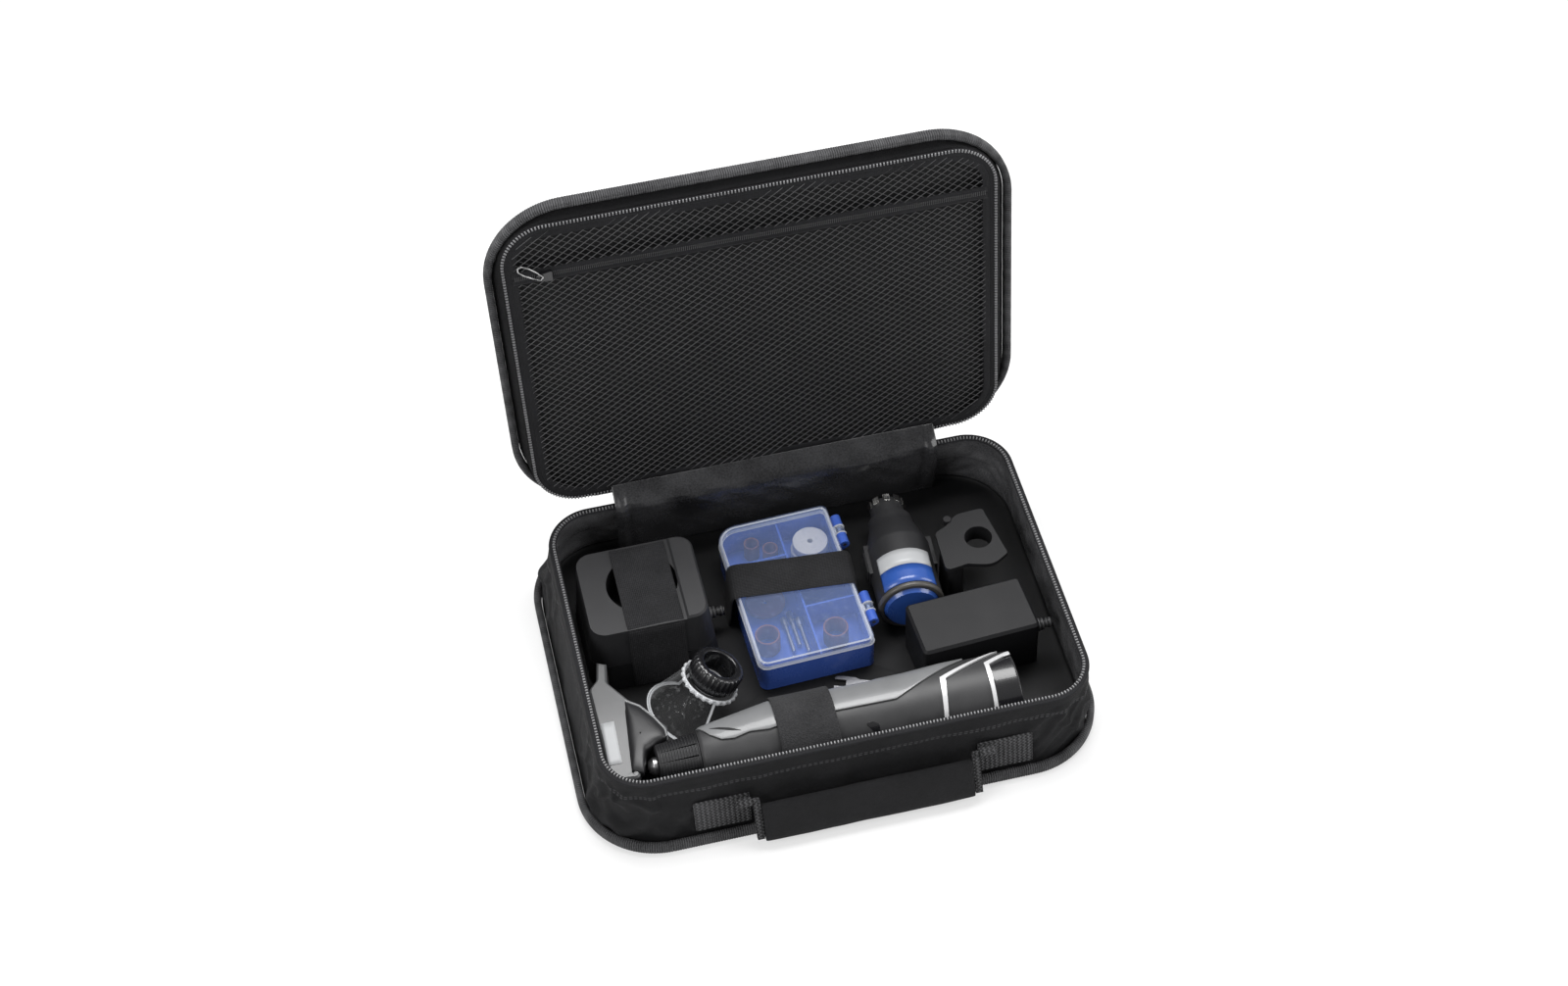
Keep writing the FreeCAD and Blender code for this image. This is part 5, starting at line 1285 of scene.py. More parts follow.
    def net_field(self, lean: int, thick: float, lift: float) -> tuple[np.ndarray, list[tuple[int, ...]]]:
        """The strands of the net that run one way, as four-sided rods.

        Args:
            lean: the way that they run.
            thick: half a strand's thickness.
            lift: how far they lie before the net's level.

        Returns:
            Their points and their faces.
        """
        points: list[np.ndarray] = []
        faces: list[tuple[int, ...]] = []
        base = 0
        for strand in self.strands(lean):
            sway = ripple(strand * np.array([0.6, 0.4, 1.0]), 26.0, 40.0) * 0.8
            for dy, dz in ((thick, 0.0), (0.0, thick), (-thick, 0.0), (0.0, -thick)):
                ring = strand.copy()
                ring[:, 1] += dy
                ring[:, 2] = self.sizes.net_level - lift - sway + dz
                points.append(ring)
            count = len(strand)
            for side in range(4):
                a, b = base + side * count, base + ((side + 1) % 4) * count
                faces.extend((a + i, a + i + 1, b + i + 1, b + i) for i in range(count - 1))
            base += 4 * count
        return np.concatenate(points), faces

    def net(self) -> None:
        """The diamond net over the lid, in two fields with the pocket's zip between them, and its hem."""
        rods = self.net_field(lean=-1, thick=0.34, lift=0.28)
        item = lid_place(plain_mesh("lid_net_falling", *rods, soft=True))
        self.dress(item, NET_LIT, "lid", "net", ["lid_mesh"])
        # The strands behind take the shaded copy: painted shade.
        rods = self.net_field(lean=1, thick=0.27, lift=0.0)
        item = lid_place(plain_mesh("lid_net_rising", *rods, soft=True))
        self.dress(item, NET_SHADED, "lid", "net")
        section = rounded_section(wide=4.4, high=0.9, x=-6.6, z=self.sizes.net_level, steps=4)
        hem = lid_place(sweep_ring("net_hem", self.sizes.lid_rim, section))
        self.dress(hem, TAPE, "lid", "net")

    def pocket_zip(self) -> None:
        """The flat zip across the net: two tapes and a coil."""
        y = self.sizes.pocket_y
        for side, word in ((-1, "upper"), (1, "lower")):
            rows = []
            for t in np.linspace(0, 1, 5):
                place, level = y + side * (0.3 + 4.1 * t), 1.35 - 0.2 * math.sin(math.pi * t)
                xs = np.linspace(-self.pocket_reach, self.pocket_reach, 140)
                rows.append([(x, place, level) for x in xs])
            grid = np.array(rows)
            grid[..., 2] -= ripple(grid, 22.0, 50.0 + side) * 0.2
            tape = lid_place(sheet_mesh(f"pocket_tape_{word}", grid, flip=side > 0))
            thicken(tape, 0.4, 0.0)
            self.dress(tape, TAPE, "lid", "zip", ["pocket_zip_tape"] if side < 0 else [])
        reach = self.pocket_reach - 1.0
        line = np.array([(x, y, 1.0) for x in np.linspace(-reach, reach, 60)])
        # The coil is coloured with the net's shaded strand colour, a painted shade.
        coil = lid_place(teeth("pocket_coil", line, pitch=1.1, wide=3.0, high=-0.45, closed=False))
        self.dress(coil, NET_SHADED, "lid", "zip")

    def build(self) -> None:
        """Makes every piece of the lid."""
        self.panel()
        self.wall()
        self.lining()
        self.zip_half("lid_zip", self.sizes.lid_rim, (0.3, 2.6), inset=1.0, body="lid", hang=True)
        self.net()
        self.pocket_zip()


@dataclass
class Handle(Dresser):
    """The carrying handle, hanging before the base: a padded sleeve on flat webbing."""

    lean: float = 23.0
    hang: float = 16.0
    sleeve_reach: float = 62.0
    sleeve_half_wide: float = 12.6
    sleeve_half_thick: float = 3.9
    strap_reach: float = 66.4
    strap_section: tuple[Pair, ...] = ((5.8, -0.6), (25.4, -0.6), (25.4, 0.6), (5.8, 0.6))
    ear_section: tuple[Pair, ...] = ((26.0, 1.5), (26.0, -1.5), (2.0, -1.3), (-1.3, 0.0), (2.0, 1.3))
    roll_radius: float = 1.5

    def axes(self) -> tuple[Vector, Vector, Vector]:
        """The pivot's place, the way down the handle and the way out of its face."""
        turn = math.radians(self.lean)
        down = Vector((0.0, -math.sin(turn), -math.cos(turn)))
        return handle_pivot(), down, Vector((0.0, -math.cos(turn), math.sin(turn)))

    def sleeve(self) -> None:
        """The padded sleeve, drawn in at its ends and dented where a hand holds it."""
        pivot, down, out = self.axes()
        centre = pivot + down * self.hang
        rows = []
        for step in range(40):
            c, s = math.cos(2 * math.pi * step / 40), math.sin(2 * math.pi * step / 40)
            a = math.copysign(abs(c) ** 0.55, c) * self.sleeve_half_wide
            b = math.copysign(abs(s) ** 0.75, s) * self.sleeve_half_thick
            row = []
            for x in np.linspace(-self.sleeve_reach, self.sleeve_reach, 70):
                end = 1.0 - 0.16 * math.exp(-(self.sleeve_reach - abs(x)) / 3.0)
                place = centre + Vector((x, 0, 0)) + down * (a * (0.99 + 0.01 * end)) + out * (b * end)
                row.append(tuple(place))
            rows.append(row)
        grid = np.array(rows)
        dent = ripple(grid * np.array([0.8, 1.0, 1.0]), 14.0, 60.0) * 0.5
        away = grid - np.array(centre)
        away[..., 0] = 0
        away /= np.linalg.norm(away, axis=2)[..., None]
        grid += away * (dent - 0.2)[..., None]
        item = sheet_mesh("handle_sleeve", grid, tube=True)
        thicken(item, 1.0)
        smooth(item)
        self.dress(item, OUTER, "carrying_handle", "case_fabric", ["handle_grip"])

    def webbing(
        self, name: str, section: Sequence[Pair], xs: np.ndarray, flip: bool = False
    ) -> bpy.types.Object:
        """A length of webbing that runs along the handle.

        Args:
            name: the piece's name.
            section: its closed section, as distances down the handle and out of its face.
            xs: the places along it.
            flip: whether its faces point the other way.

        Returns:
            The webbing.
        """
        pivot, down, out = self.axes()
        rows = [
            [tuple(pivot + down * distance + out * level + Vector((x, 0, 0))) for x in xs]
            for distance, level in section
        ]
        return sheet_mesh(name, np.array(rows), tube=True, flip=flip)

    def build(self) -> None:
        """Makes the sleeve, its strap, and the ears and rolls at the strap's ends."""
        self.sleeve()
        along = np.linspace(-self.strap_reach, self.strap_reach, 90)
        strap = self.webbing("handle_webbing", self.strap_section, along)
        self.dress(strap, WEBBING, "carrying_handle", "webbing", ["handle_strap"])
        pivot = self.axes()[0]
        for side, word in ((-1, "left"), (1, "right")):
            near = side * np.linspace(62.4, 66.6, 6)
            ear = self.webbing(f"handle_ear_{word}", self.ear_section, near, side < 0)
            self.dress(ear, WEBBING, "carrying_handle", "webbing")
            far = pivot.x + side * np.linspace(63.0, 75.8, 8)
            roll = bar(f"handle_roll_{word}", far, (pivot.y, pivot.z), self.roll_radius, 12, side > 0)
            self.dress(roll, WEBBING, "carrying_handle", "webbing")


@dataclass
class Bands(Dresser):
    """The three flat bands that hold the charger, the accessory box and the tool."""

    floor: float = 4.4
    thickness: float = 0.9
    wrinkle: float = 13.0
    curl: float = 0.35
    sag: dict[str, float] = field(
        default_factory=lambda: {"charger_band": 0.3, "box_band": 0.3, "tool_band": 0.25}
    )
    charger_wide: float = 34.0
    charger_inset: float = 4.0
    box_wide: float = 26.0
    box_turn: float = -4.8
    tool_wide: float = 35.0

    def band(
        self, path: Sequence[Vector], across: Vector, wide: float, finish: Cloth, *names: str, seed: float
    ) -> None:
        """A flat band laid along a path.

        Args:
            path: its middle line, in millimetres.
            across: the direction of its width.
            wide: its width.
            finish: its finish.
            names: the piece's name, the CAD node that it stands for and the record's material slot.
            seed: shifts its wrinkles.
        """
        name, node, slot = names
        fine = even(np.array([tuple(p) for p in path]), 1.6, closed=False)[0]
        fine = np.concatenate([[tuple(path[0])], fine, [tuple(path[-1])]])
        shares = np.linspace(-0.5, 0.5, 15)
        grid = np.array([[p + np.array(across) * wide * t for p in fine] for t in shares])
        normal = np.cross(np.gradient(fine, axis=0), np.array(across))
        normal /= np.linalg.norm(normal, axis=1)[:, None]
        wave = ripple(grid, self.wrinkle, seed) * self.sag[name]
        curl = (np.abs(shares) * 2) ** 6 * self.curl
        grid += normal[None] * (wave - curl[:, None])[..., None]
        item = sheet_mesh(name, grid)
        thicken(item, self.thickness, 0.0)
        smooth(item)
        self.dress(item, finish, "case_base", slot, [node])

    def charger_band(self) -> None:
        """The black band from front to back over the charger."""
        low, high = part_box("charger_strap")
        middle = (low.x + high.x) / 2 / MM
        y0, y1, top = low.y / MM + 0.8, high.y / MM - 0.8, high.z / MM - 0.7
        inset = self.charger_inset
        rise = ((0.0, self.floor), (1.2, self.floor + 14), (inset, top - 4.5), (inset + 1.6, top - 1.0))
        marks = [(y0 + a, z) for a, z in (*rise, (inset + 5, top))]
        marks += [((y0 + y1) / 2, top - 0.3)]
        marks += [(y1 - a, z) for a, z in ((inset + 5, top), *reversed(rise))]
        path = [Vector((middle, y, z)) for y, z in marks]
        names = ("charger_band", "charger_strap", "elastic_black")
        self.band(path, Vector((1, 0, 0)), self.charger_wide, BLACK_BAND, *names, seed=70.0)

    def box_band(self) -> None:
        """The black band from left to right over the accessory box."""
        low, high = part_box("box_strap")
        turn = math.radians(self.box_turn)
        along = Vector((math.cos(turn), math.sin(turn), 0))
        across = Vector((-math.sin(turn), math.cos(turn), 0))
        half, top = (high.x - low.x) / 2 / MM - 2.0, high.z / MM - 0.6
        centre = Vector(((low.x + high.x) / 2 / MM, (low.y + high.y) / 2 / MM, 0))
        rise = [(half, self.floor), (half - 1.4, 12.0), (half - 2.8, top - 4), (half - 4.4, top - 0.7)]
        marks = [(-a, z) for a, z in rise]
        marks += [(-half + 8, top), (0.0, top - 0.1), (half - 8, top)]
        marks += reversed(rise)
        path = [centre + along * a + Vector((0, 0, z)) for a, z in marks]
        names = ("box_band", "box_strap", "elastic_black")
        self.band(path, across, self.box_wide, BLACK_BAND, *names, seed=74.0)

    def tool_band(self) -> None:
        """The worn grey band round the tool."""
        low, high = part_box("tool_strap")
        middle = (low.x + high.x) / 2 / MM
        y, top = (low.y + high.y) / 2 / MM, high.z / MM - 0.5
        r = (high.y - low.y) / 2 / MM - 0.5
        axis = top - r
        marks = [(y - r, self.floor), (y - r, axis - 8)]
        for step in range(25):
            angle = math.pi - math.pi * step / 24
            marks.append((y + r * math.cos(angle), axis + r * math.sin(angle)))
        marks += [(y + r, axis - 8), (y + r, self.floor)]
        path = [Vector((middle, across, z)) for across, z in marks]
        names = ("tool_band", "tool_strap", "elastic_grey")
        self.band(path, Vector((1, 0, 0)), self.tool_wide, GREY_BAND, *names, seed=78.0)

    def build(self) -> None:
        """Makes the three bands."""
        self.charger_band()
        self.box_band()
        self.tool_band()


# Rigid contents


@dataclass
class Rigid(Dresser):
    """A builder of the pieces that keep their solids."""

    nodes: dict[str, bpy.types.Object]

    def coat(self, finish: Cloth | Moulded | Metal | Clear, bevel: float, *names: str) -> None:
        """Gives CAD nodes a finish and softened edges.

        Args:
            finish: the finish.
            bevel: the edge's width in millimetres, or nought.
            names: the nodes.
        """
        for name in names:
            item = self.nodes[name]
            item.data.materials.clear()
            item.data.materials.append(self.finishes.get(finish))
            item.data.polygons.foreach_set("use_smooth", [True] * len(item.data.polygons))
            weld = item.modifiers.new("Weld", "WELD")
            weld.merge_threshold = 0.01 * MM
            if bevel:
                edge = item.modifiers.new("Bevel", "BEVEL")
                edge.width = bevel * MM
                edge.segments = 2
                edge.limit_method = "ANGLE"
                edge.angle_limit = math.radians(32)
            even_out = item.modifiers.new("Normals", "WEIGHTED_NORMAL")
            even_out.weight = 80
            even_out.keep_sharp = True
            LOG.info("node %s in %s", name, finish.name)

    def plate(
        self, name: str, grid: np.ndarray, finish: Moulded, body: str, slot: str, flip: bool = False
    ) -> None:
        """A thin bare plate on a housing.

        Args:
            name: the piece's name.
            grid: its surface.
            finish: its finish.
            body: the body that it rides on.
            slot: the record's material slot.
            flip: whether its faces point the other way.
        """
        item = sheet_mesh(name, grid, flip=flip)
        thicken(item, 0.25)
        self.dress(item, finish, body, slot)

    def edges(self, name: str, node: str, body: str, radius: float, least: float = 50.0) -> None:
        """Whitish beads laid along a clear moulding's sharp edges: a painted highlight where the edges catch
        the light.

        Args:
            name: the piece's name.
            node: the clear CAD node.
            body: the body that it rides on.
            radius: the edge's radius in millimetres.
            least: the least angle between two faces, in degrees.
        """
        shape = bmesh.new()
        shape.from_mesh(self.nodes[node].data)
        bmesh.ops.remove_doubles(shape, verts=shape.verts, dist=0.01 * MM)
        shape.normal_update()
        blocks = []
        for edge in shape.edges:
            if len(edge.link_faces) != 2 or edge.calc_face_angle() < math.radians(least):
                continue
            a, b = (np.array(vert.co) / MM for vert in edge.verts)
            ahead = (b - a) / max(np.linalg.norm(b - a), 1e-9)
            inward = -np.array(sum((face.normal for face in edge.link_faces), Vector()).normalized())
            side = np.cross(ahead, inward) * radius
            deep = inward * radius
            mid = deep * 0.6
            ring = [-side - deep, side - deep, side + deep, -side + deep]
            blocks.append([a + mid + r for r in ring] + [b + mid + r for r in ring])
        shape.free()
        self.dress(blocks_mesh(name, np.array(blocks)), CLEAR_EDGE_HIGHLIGHT, body, "clear_plastic")


@dataclass
class Supplies(Rigid):
    """The charger, the adapter, the accessory box and the loose pieces."""

    def build(self) -> None:
        """Dresses the nodes and lays painted highlights along the edges of the box's clear lid."""
        self.coat(BLACK, 0.5, "adapter_base")
        self.coat(PALER_BLACK, 0.5, "charger_base")
        self.coat(BLACK, 0.8, "adapter_cover")
        self.coat(HOUSING, 0.8, "charger_cover")
        self.coat(RELIEF, 0.2, "charger_cord_relief", "adapter_cord_relief")
        self.coat(BRASS, 0.1, "charger_contacts")
        self.coat(TRAY_LIT, 0.3, "box_tray")
        self.coat(BOX_CLEAR, 0.3, "box_lid")
        self.coat(STEEL, 0.1, "box_hinge_pins", "mandrels")
        self.coat(DARK_STEEL, 0.2, "collet_wrench")
        self.coat(FELT, 0.5, "felt_wheels")
        self.coat(GRIT, 0.1, "sanding_bands", "cutting_discs")
        self.coat(PALER_BLACK, 0.4, "shaping_platform")
        self.coat(GLOSS_BLACK, 0.2, "pocket_slider")
        self.edges("box_lid_edges", "box_lid", "box_lid", radius=0.5)


@dataclass
class Guard(Rigid):
    """The clear guard with its toothed collar and its threaded ring."""

    middle: Vector = field(default_factory=lambda: Vector((-69.0, -29.5, 32.6)))
    lean: float = 31.0
    lean_axis: Vector = field(default_factory=lambda: Vector((-0.19, 0.98, 0)))
    ring_section: tuple[Pair, ...] = (
        (9.9, 0.4), (14.0, 0.4), (14.3, 2.2), (15.1, 3.0), (15.1, 7.6), (15.1, 12.4), (14.2, 13.9),
        (11.0, 13.9), (10.5, 13.4),
    )
    ring_ribs: int = 30
    rib_depth: float = 0.55
    rib_least: float = 15.0
    thread_low: float = 9.75
    thread_high: float = 10.7
    thread_turn: float = 1.4
    thread_top: float = 12.6
    collar_section: tuple[Pair, ...] = ((16.6, -2.7), (17.4, -2.5), (17.8, -1.4), (17.4, 0.0), (16.6, 0.2))
    collar_teeth: int = 24
    tooth_depth: float = 0.6
    tooth_least: float = 17.0

    def turned(
        self, name: str, section: Sequence[Pair], steps: int, shape: Callable[..., Pair]
    ) -> bpy.types.Object:
        """A piece turned about the guard's axis and leaned to its place.

        Args:
            name: the piece's name.
            section: its closed section, as radius and level.
            steps: points round it.
            shape: changes a radius and a level at an angle.

        Returns:
            The piece, its faces outward.
        """
        rows = []
        for radius, level in section:
            row = []
            for step in range(steps):
                angle = 2 * math.pi * step / steps
                far, high = shape(radius, level, angle)
                row.append((far * math.cos(angle), far * math.sin(angle), high))
            rows.append(row)
        item = sheet_mesh(name, np.array(rows), around=True, tube=True)
        lean = Matrix.Rotation(math.radians(self.lean), 4, self.lean_axis.normalized())
        item.data.transform(Matrix.Translation(self.middle * MM) @ lean)
        outward(item)
        return item

    def ribbed(self, radius: float, level: float, angle: float) -> Pair:
        """The ring's ribs outside and its thread inside, as radius and level."""
        if radius > self.rib_least:
            radius += self.rib_depth * max(0.0, math.sin(angle * self.ring_ribs)) ** 0.5
        if radius < self.thread_high + 0.1 and 0.5 < level < 13.0:
            level += self.thread_turn / 2 * angle / math.pi
        return radius, level

    def toothed(self, radius: float, level: float, angle: float) -> Pair:
        """The collar's teeth, as radius and level."""
        tooth = self.tooth_depth * math.sin(angle * self.collar_teeth)
        return radius + (tooth if radius > self.tooth_least else 0.0), level

    def ring(self) -> None:
        """The threaded ring with its fine grip ribs."""
        section = list(self.ring_section)
        for step in range(9):
            radius = self.thread_low if step % 2 else self.thread_high
            section.append((radius, self.thread_top - step * self.thread_turn))
        item = self.turned("guard_grip_ring", section, 300, self.ribbed)
        self.dress(item, GLOSS_BLACK, "guard_ring", "black_plastic", ["guard_ring"])

    def collar(self) -> None:
        """The clear teeth round the shield's collar, in the whitish edge material: a painted highlight."""
        item = self.turned("guard_collar_teeth", self.collar_section, 240, self.toothed)
        self.dress(item, CLEAR_EDGE_HIGHLIGHT, "guard", "clear_plastic")

    def build(self) -> None:
        """Dresses the shield and makes its painted edge highlights, its ring and its collar."""
        self.coat(GUARD_CLEAR, 0.2, "guard_shield")
        self.edges("guard_edges", "guard_shield", "guard", radius=0.42, least=40.0)
        self.ring()
        self.collar()


@dataclass
class Tool(Rigid):
    """The rotary tool, with places given along it from the nose and across it from its axis."""

    nose: float = 111.0
    axis_y: float = 78.0
    axis_z: float = 28.1
    patch_thick: float = 0.9
    patch_edge: float = 0.3
    profile: tuple[Pair, ...] = (
        (25.4, 14.0), (27.5, 15.8), (69.0, 22.5), (150.0, 22.5), (172.0, 23.7), (213.0, 23.7),
    )

    def skin_patch(
        self,
        name: str,
        upper: Sequence[Pair],
        lower: Sequence[Pair],
        grow: float,
        finish: Moulded,
        slot: str,
        nodes: Iterable[str] = (),
    ) -> None:
        """A patch that lies on the tool's housing between two lines.

        Args:
            name: the piece's name.
            upper: its farther edge.
            lower: its nearer edge.
            grow: how far it stands off the housing.
            finish: its finish.
            slot: the record's material slot.
            nodes: CAD nodes that it stands for.
        """
        start = max(upper[0][0], lower[0][0])
        end = min(upper[-1][0], lower[-1][0])
        xs = np.linspace(start, end, max(12, int((end - start) / 1.2)))
        high = np.interp(xs, [q[0] for q in upper], [q[1] for q in upper])
        low = np.interp(xs, [q[0] for q in lower], [q[1] for q in lower])
        radius = np.interp(xs, [q[0] for q in self.profile], [q[1] for q in self.profile]) + grow
        first, last = np.arcsin(low / radius), np.arcsin(high / radius)
        rows = []
        for share in np.linspace(0, 1, 12):
            angle = first + (last - first) * share
            across, level = radius * np.sin(angle) - self.axis_y, radius * np.cos(angle) + self.axis_z
            rows.append(np.stack([xs - self.nose, across, level], axis=1))
        item = sheet_mesh(name, np.array(rows))
        thicken(item, self.patch_thick)
        edge = item.modifiers.new("Edge", "BEVEL")
        edge.width = self.patch_edge * MM
        edge.segments = 2
        edge.angle_limit = math.radians(50)
        self.dress(item, finish, "rotary_tool", slot, nodes)

    def wing(self) -> None:
        """The light wing along the tool, with the groove at its tip."""
        upper = [(26.0, 12.9), (40.0, 14.9), (55.0, 16.6), (69.0, 17.9), (100.0, 16.2), (130.0, 15.2)]
        upper += [(134.0, 17.2), (186.0, 18.2)]
        lower = [(26.0, 12.0), (32.0, 1.9), (38.0, -3.4), (45.5, -5.0), (54.5, -3.9), (66.0, -6.0)]
        lower += [(102.0, -3.7), (141.0, -4.2), (146.0, -1.9), (180.0, 14.6), (186.0, 17.6)]
        self.skin_patch("tool_wing", upper, lower, 1.25, LIGHT, "light_plastic", ["tool_side_panel"])
        high = [(33.0, 6.4), (38.0, 5.0), (44.0, 2.2), (50.0, -1.8)]
        low = [(33.0, 6.2), (38.0, 3.4), (44.0, 0.2), (50.0, -2.0)]
        self.skin_patch("tool_wing_groove", high, low, 1.4, PALER_BLACK, "dark_rubber")

    def butt(self) -> None:
        """The vent beside the wing, and the dark window in its bright frame at the battery's end."""
        high = [(121.0, -13.4), (124.0, -13.0), (128.0, -14.6)]
        low = [(121.0, -14.4), (124.0, -17.4), (128.0, -19.6)]
        self.skin_patch("tool_vent", high, low, 0.2, GLOSS_BLACK, "black_plastic")
        high = [(198.4, 5.1), (208.4, 9.3), (212.8, 10.4)]
        low = [(198.4, -19.6), (212.8, -19.6)]
        self.skin_patch("tool_bay_window", high, low, 0.3, GLOSS_BLACK, "black_plastic")
        high = [(208.0, 12.5), (210.4, 13.6), (212.8, 13.8)]
        low = [(208.0, 9.5), (212.8, 10.6)]
        self.skin_patch("tool_bay_frame", high, low, 1.5, SILVER, "silver_trim")

    def build(self) -> None:
        """Dresses the tool's nodes and makes the patches on its housing."""
        self.coat(STEEL, 0.1, "collet", "collet_nut", "spindle", "bearings")
        self.coat(DARK_STEEL, 0.2, "motor")
        self.coat(RUBBER, 0.4, "tool_upper_shell", "tool_lower_shell")
        self.coat(SILVER, 0.2, "tool_trim")
        self.coat(NOSE, 0.3, "nose_cap")
        self.coat(BLACK, 0.3, "power_switch", "lock_button", "cooling_fan")
        self.coat(BOARD, 0.1, "circuit_board")
        self.wing()
        self.butt()


@dataclass
class Puller(Dresser):
    """The bent wire that pulls the pocket's zip, turned aside in the plane of the net."""

    pivot: Pair = (-122.4, -178.9)
    level: float = -2.6
    turn: float = 218.0
    radius: float = 0.5
    middle: float = 8.0
    leg: tuple[Pair, ...] = ((-0.2, -1.2), (5.0, -2.2), (11.0, -2.7), (15.0, -2.1), (16.6, 0.0))

    def build(self) -> None:
        """Makes the wire."""
        half = even(np.array([(x, y, 0.0) for x, y in self.leg]), 0.8, closed=False)[0]
        path = np.concatenate([half, half[::-1] * np.array([1.0, -1.0, 1.0])])
        away = path - np.array([self.middle, 0.0, 0.0])
        away /= np.maximum(np.linalg.norm(away, axis=1)[:, None], 1e-6)
        c, s = math.cos(math.radians(self.turn)), math.sin(math.radians(self.turn))
        rows = []
        for step in range(8):
            angle = 2 * math.pi * step / 8
            out = path + away * self.radius * math.cos(angle)
            out[:, 2] += self.radius * math.sin(angle)
            x = out[:, 0] * c - out[:, 1] * s + self.pivot[0]
            y = out[:, 0] * s + out[:, 1] * c + self.pivot[1]
            rows.append(np.stack([x, y, out[:, 2] + self.level], axis=1))
        item = sheet_mesh("pocket_wire", np.array(rows), around=True, tube=True)
        outward(item)
        self.dress(lid_place(item), WIRE, "pocket_puller", "wire", ["pocket_puller"])


@dataclass
class Grip(Rigid):
    """The detail grip: a light forked shell with a rubber cushion and a bare plate."""

    pad: tuple[Pair, ...] = (
        (-120.9, -33.1), (-113.3, -39.0), (-106.6, -49.0), (-101.9, -58.8), (-101.9, -64.5),
        (-108.5, -67.1), (-115.2, -71.7), (-119.7, -85.9), (-126.0, -82.9), (-124.5, -66.5),
        (-122.7, -48.5),
    )
    rim_points: int = 5
    crown: tuple[Pair, ...] = (
        (1.0, -3.0), (1.0, -0.4), (0.97, 0.5), (0.88, 1.6), (0.7, 2.5), (0.4, 3.0), (0.04, 3.1),
    )
    plate_x: Pair = (-137.4, -129.6)
    plate_y: float = -46.0
    plate_long: float = 30.0

    def line(self, points: Sequence[Pair], pitch: float, closed: bool) -> np.ndarray:
        """Even places along a flat line."""
        return even(np.array([(x, y, 0.0) for x, y in points]), pitch, closed)[0]

    def cushion(self, top: float) -> None:
        """The crowned rubber pad that fills the shell's fork.

        Args:
            top: the shell's top in millimetres.
        """
        outline = self.line(self.pad, 1.0, True)
        middle = outline.mean(axis=0)
        rows = []
        for share, level in self.crown:
            ring = middle + (outline - middle) * share
            ring[:, 2] = top + level
            rows.append(ring)
            for _ in range(round(40 * (1.0 - share))):
                outline = (np.roll(outline, 2, axis=0) + outline + np.roll(outline, -2, axis=0)) / 3
        item = sheet_mesh("grip_cushion", np.array(rows), around=True)
        smooth(item)
        self.dress(item, PAD, "detail_grip", "dark_rubber", ["grip_pad"])

    def rim(self, top: float) -> None:
        """The shell's bright rim round the cushion's far side.

        Args:
            top: the shell's top in millimetres.
        """
        line = self.line(self.pad[: self.rim_points], 1.2, False)
        line[:, 2] = top + 0.1
        rows = []
        for step in range(8):
            c, s = math.cos(2 * math.pi * step / 8), math.sin(2 * math.pi * step / 8)
            rows.append(line + np.array([0.75 * c, 0.5 * c, 0.8 * s]))
        item = sheet_mesh("grip_rim", np.array(rows), tube=True)
        outward(item)
        self.dress(item, LIGHT, "detail_grip", "silver_trim")

    def build(self) -> None:
        """Dresses the shell and makes the cushion, the rim and the plate."""
        self.coat(GRIP, 0.5, "grip_shell")
        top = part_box("grip_shell")[1].z / MM
        self.cushion(top)
        self.rim(top)
        rows = []
        for t in np.linspace(0, 1, 8):
            xs = np.linspace(*self.plate_x, 5)
            rows.append([(x - 0.8 * t, self.plate_y - self.plate_long * t, top + 0.25) for x in xs])
        self.plate("grip_bare_plate", np.array(rows), WHITE, "detail_grip", "silver_trim", True)


@dataclass
class Battery(Rigid):
    """The battery with its bare coloured bands."""

    turn: float = -3.2
    middle: tuple[float, float, float] = (61.3, 0.5, 24.2)
    radius: float = 20.28
    spread: float = 52.0

    def band(self, name: str, span: Pair, finish: Moulded, slot: str) -> None:
        """A bare band round the battery's upper side.

        Args:
            name: the piece's name.
            span: where it starts and ends along the battery.
            finish: its finish.
            slot: the record's material slot.
        """
        c, s = math.cos(math.radians(self.turn)), math.sin(math.radians(self.turn))
        rows = []
        for y in np.linspace(*span, 4):
            row = []
            for angle in np.radians(np.linspace(-self.spread, self.spread, 30)):
                x, z = self.radius * math.sin(angle), self.radius * math.cos(angle)
                row.append((x * c - y * s, x * s + y * c, z))
            rows.append(row)
        self.plate(name, np.array(rows) + np.array(self.middle), finish, "battery", slot)

    def build(self) -> None:
        """Dresses the battery's nodes and makes its bands."""
        self.coat(HOUSING, 0.4, "battery_case")
        self.coat(BRASS, 0.1, "battery_contacts")
        self.coat(BLUE, 0.3, "battery_end_cap")
        self.coat(DOTTED, 0.3, "release_button_left", "release_button_right")
        self.coat(RING, 0.3, "battery_ring")
        self.band("battery_band_blue", (3.4, 17.0), BLUE, "blue_plastic")
        self.band("battery_band_white", (17.2, 29.0), GREY_PLATE, "silver_trim")


# Studio


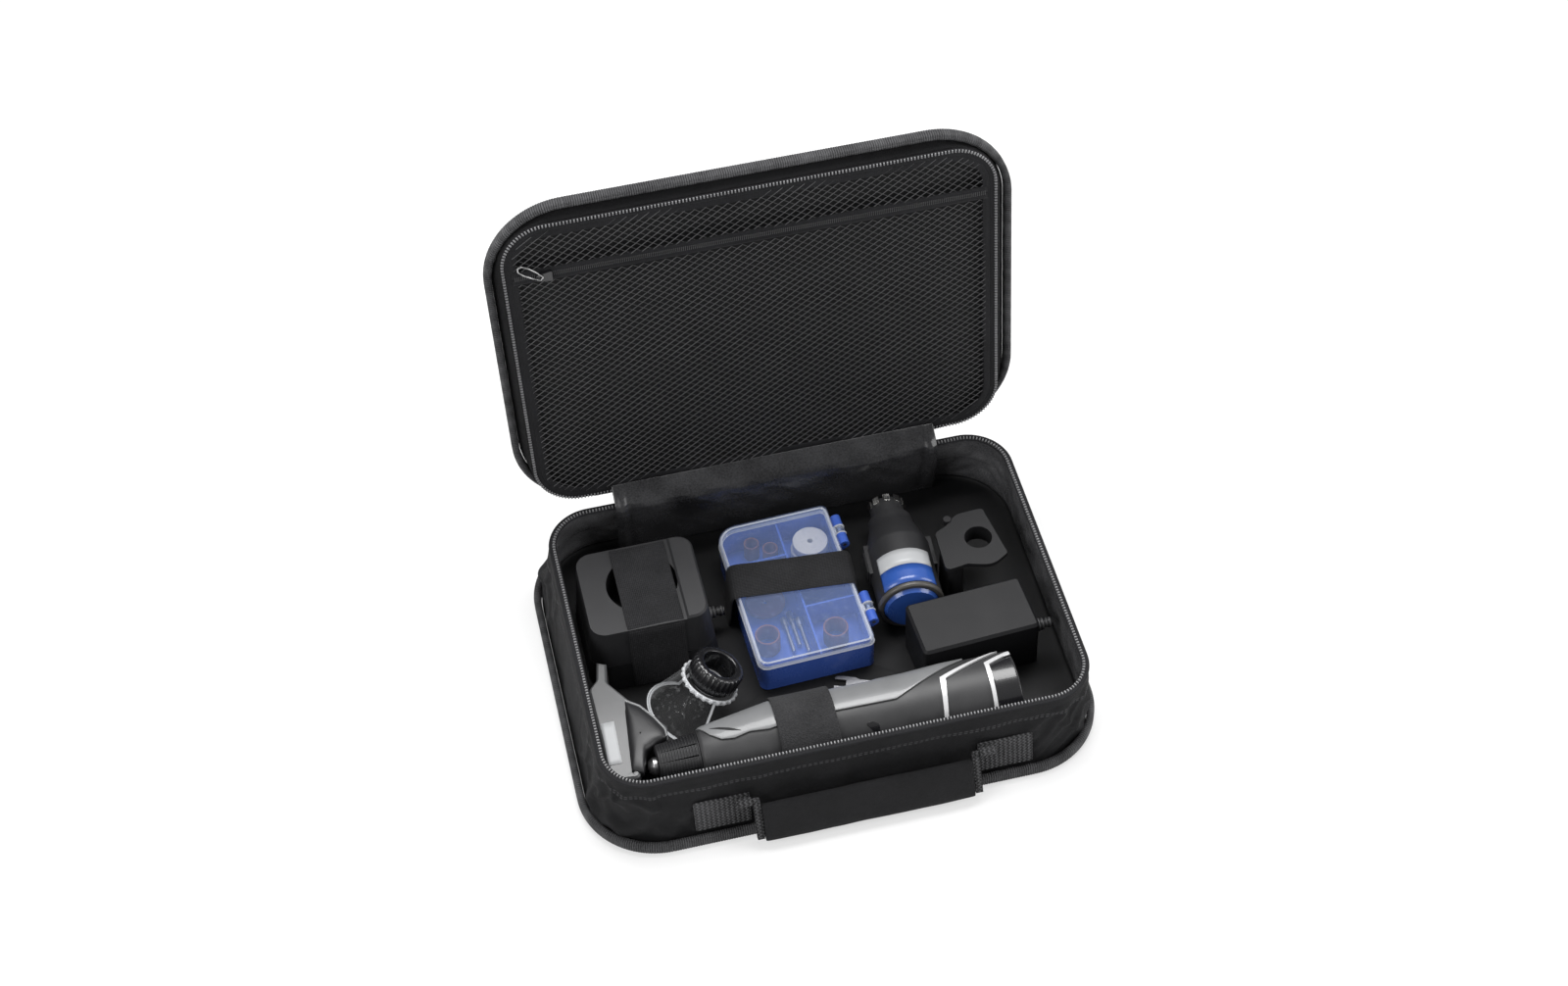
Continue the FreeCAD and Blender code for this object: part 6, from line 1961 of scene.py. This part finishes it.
@dataclass
class Studio:
    """Camera, floor, lamps and world."""

    place: tuple[float, float, float] = (-0.198805, -0.943787, 1.282036)
    right: tuple[float, float, float] = (0.97319294, -0.22788358, -0.03105751)
    up: tuple[float, float, float] = (0.19326568, 0.73710131, 0.64755697)
    back: tuple[float, float, float] = (-0.12467507, -0.63620023, 0.76138387)
    lens: float = 60.62
    floor_reach: float = 6000.0
    floor_level: float = -0.2
    surround: float = 0.34

    def camera(self) -> None:
        """The camera at the photograph's place."""
        data = bpy.data.cameras.new("camera")
        data.lens = self.lens
        data.sensor_width = 36.0
        data.sensor_fit = "HORIZONTAL"
        data.clip_start = 0.01
        data.clip_end = 50.0
        camera = linked("camera", data)
        turn = Matrix((self.right, self.up, self.back)).transposed().to_4x4()
        camera.matrix_world = Matrix.Translation(Vector(self.place)) @ turn
        bpy.context.scene.camera = camera

    def floor(self) -> None:
        """The pale floor, which the camera sees as white away from the object."""
        corners = np.array([(-1, -1), (1, -1), (1, 1), (-1, 1)]) * self.floor_reach
        points = np.concatenate([corners, np.full((4, 1), self.floor_level)], axis=1)
        floor = plain_mesh("floor", points, [(0, 1, 2, 3)])
        tree = Tree("pale_floor")
        cloud = tree.cloud(8.0)
        colour = tree.blend(cloud, (0.9, 0.9, 0.9), (0.94, 0.94, 0.94))
        shader = tree.add("ShaderNodeBsdfPrincipled", inputs={"Base Color": colour, "Roughness": 0.9})
        glow = tree.add("ShaderNodeEmission", inputs={"Color": (1, 1, 1, 1), "Strength": 1.0})
        rays = tree.add("ShaderNodeLightPath", output="Is Camera Ray")
        mixed = tree.add("ShaderNodeMixShader", inputs={0: rays * 0.55, 1: shader, 2: glow})
        floor.data.materials.append(tree.output(mixed))

    def lamp(self, name: str, place: Sequence[float], aim: Sequence[float], size: Pair, power: float) -> None:
        """A soft rectangular lamp.

        Args:
            name: its name.
            place: where it stands.
            aim: what it points at.
            size: its width and height.
            power: its power in watts.
        """
        data = bpy.data.lights.new(name, "AREA")
        data.shape = "RECTANGLE"
        data.size, data.size_y = size
        data.energy = power
        lamp = linked(name, data)
        lamp.location = place
        lamp.rotation_mode = "QUATERNION"
        lamp.rotation_quaternion = (Vector(aim) - Vector(place)).to_track_quat("-Z", "Y")

    def world(self) -> None:
        """A plain surround, white to the camera."""
        world = bpy.data.worlds.new("surround")
        bpy.context.scene.world = world
        world.use_nodes = True
        nodes, links = world.node_tree.nodes, world.node_tree.links
        nodes.clear()
        rays = nodes.new("ShaderNodeLightPath")
        mix = nodes.new("ShaderNodeMixShader")
        links.new(rays.outputs["Is Camera Ray"], mix.inputs[0])
        for index, strength in ((1, self.surround), (2, 1.0)):
            shade = nodes.new("ShaderNodeBackground")
            shade.inputs["Color"].default_value = (1, 1, 1, 1)
            shade.inputs["Strength"].default_value = strength
            links.new(shade.outputs[0], mix.inputs[index])
        links.new(mix.outputs[0], nodes.new("ShaderNodeOutputWorld").inputs[0])

    def build(self) -> None:
        """Sets up the studio."""
        bpy.context.scene.view_settings.view_transform = "Standard"
        self.camera()
        self.floor()
        self.world()
        self.lamp("overhead", (0.1, 0.5, 1.5), (0.0, 0.0, 0.0), (1.2, 0.8), 28.0)
        self.lamp("left_front", (-1.3, -0.7, 1.1), (0.0, 0.0, 0.05), (0.8, 0.8), 10.5)
        self.lamp("right_low", (1.4, -0.5, 0.8), (0.0, 0.0, 0.05), (0.7, 0.9), 9.0)


def main() -> None:
    logging.basicConfig(level=logging.INFO, format="%(message)s")
    for item in list(bpy.data.objects):
        bpy.data.objects.remove(item)
    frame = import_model()
    Studio().build()
    finishes = Finishes()
    for cloth in (Base, Lid, Handle, Bands, Puller):
        cloth(finishes).build()
    for rigid in (Supplies, Guard, Tool, Grip, Battery):
        rigid(finishes, frame["nodes"]).build()


if __name__ == "__main__":
    main()
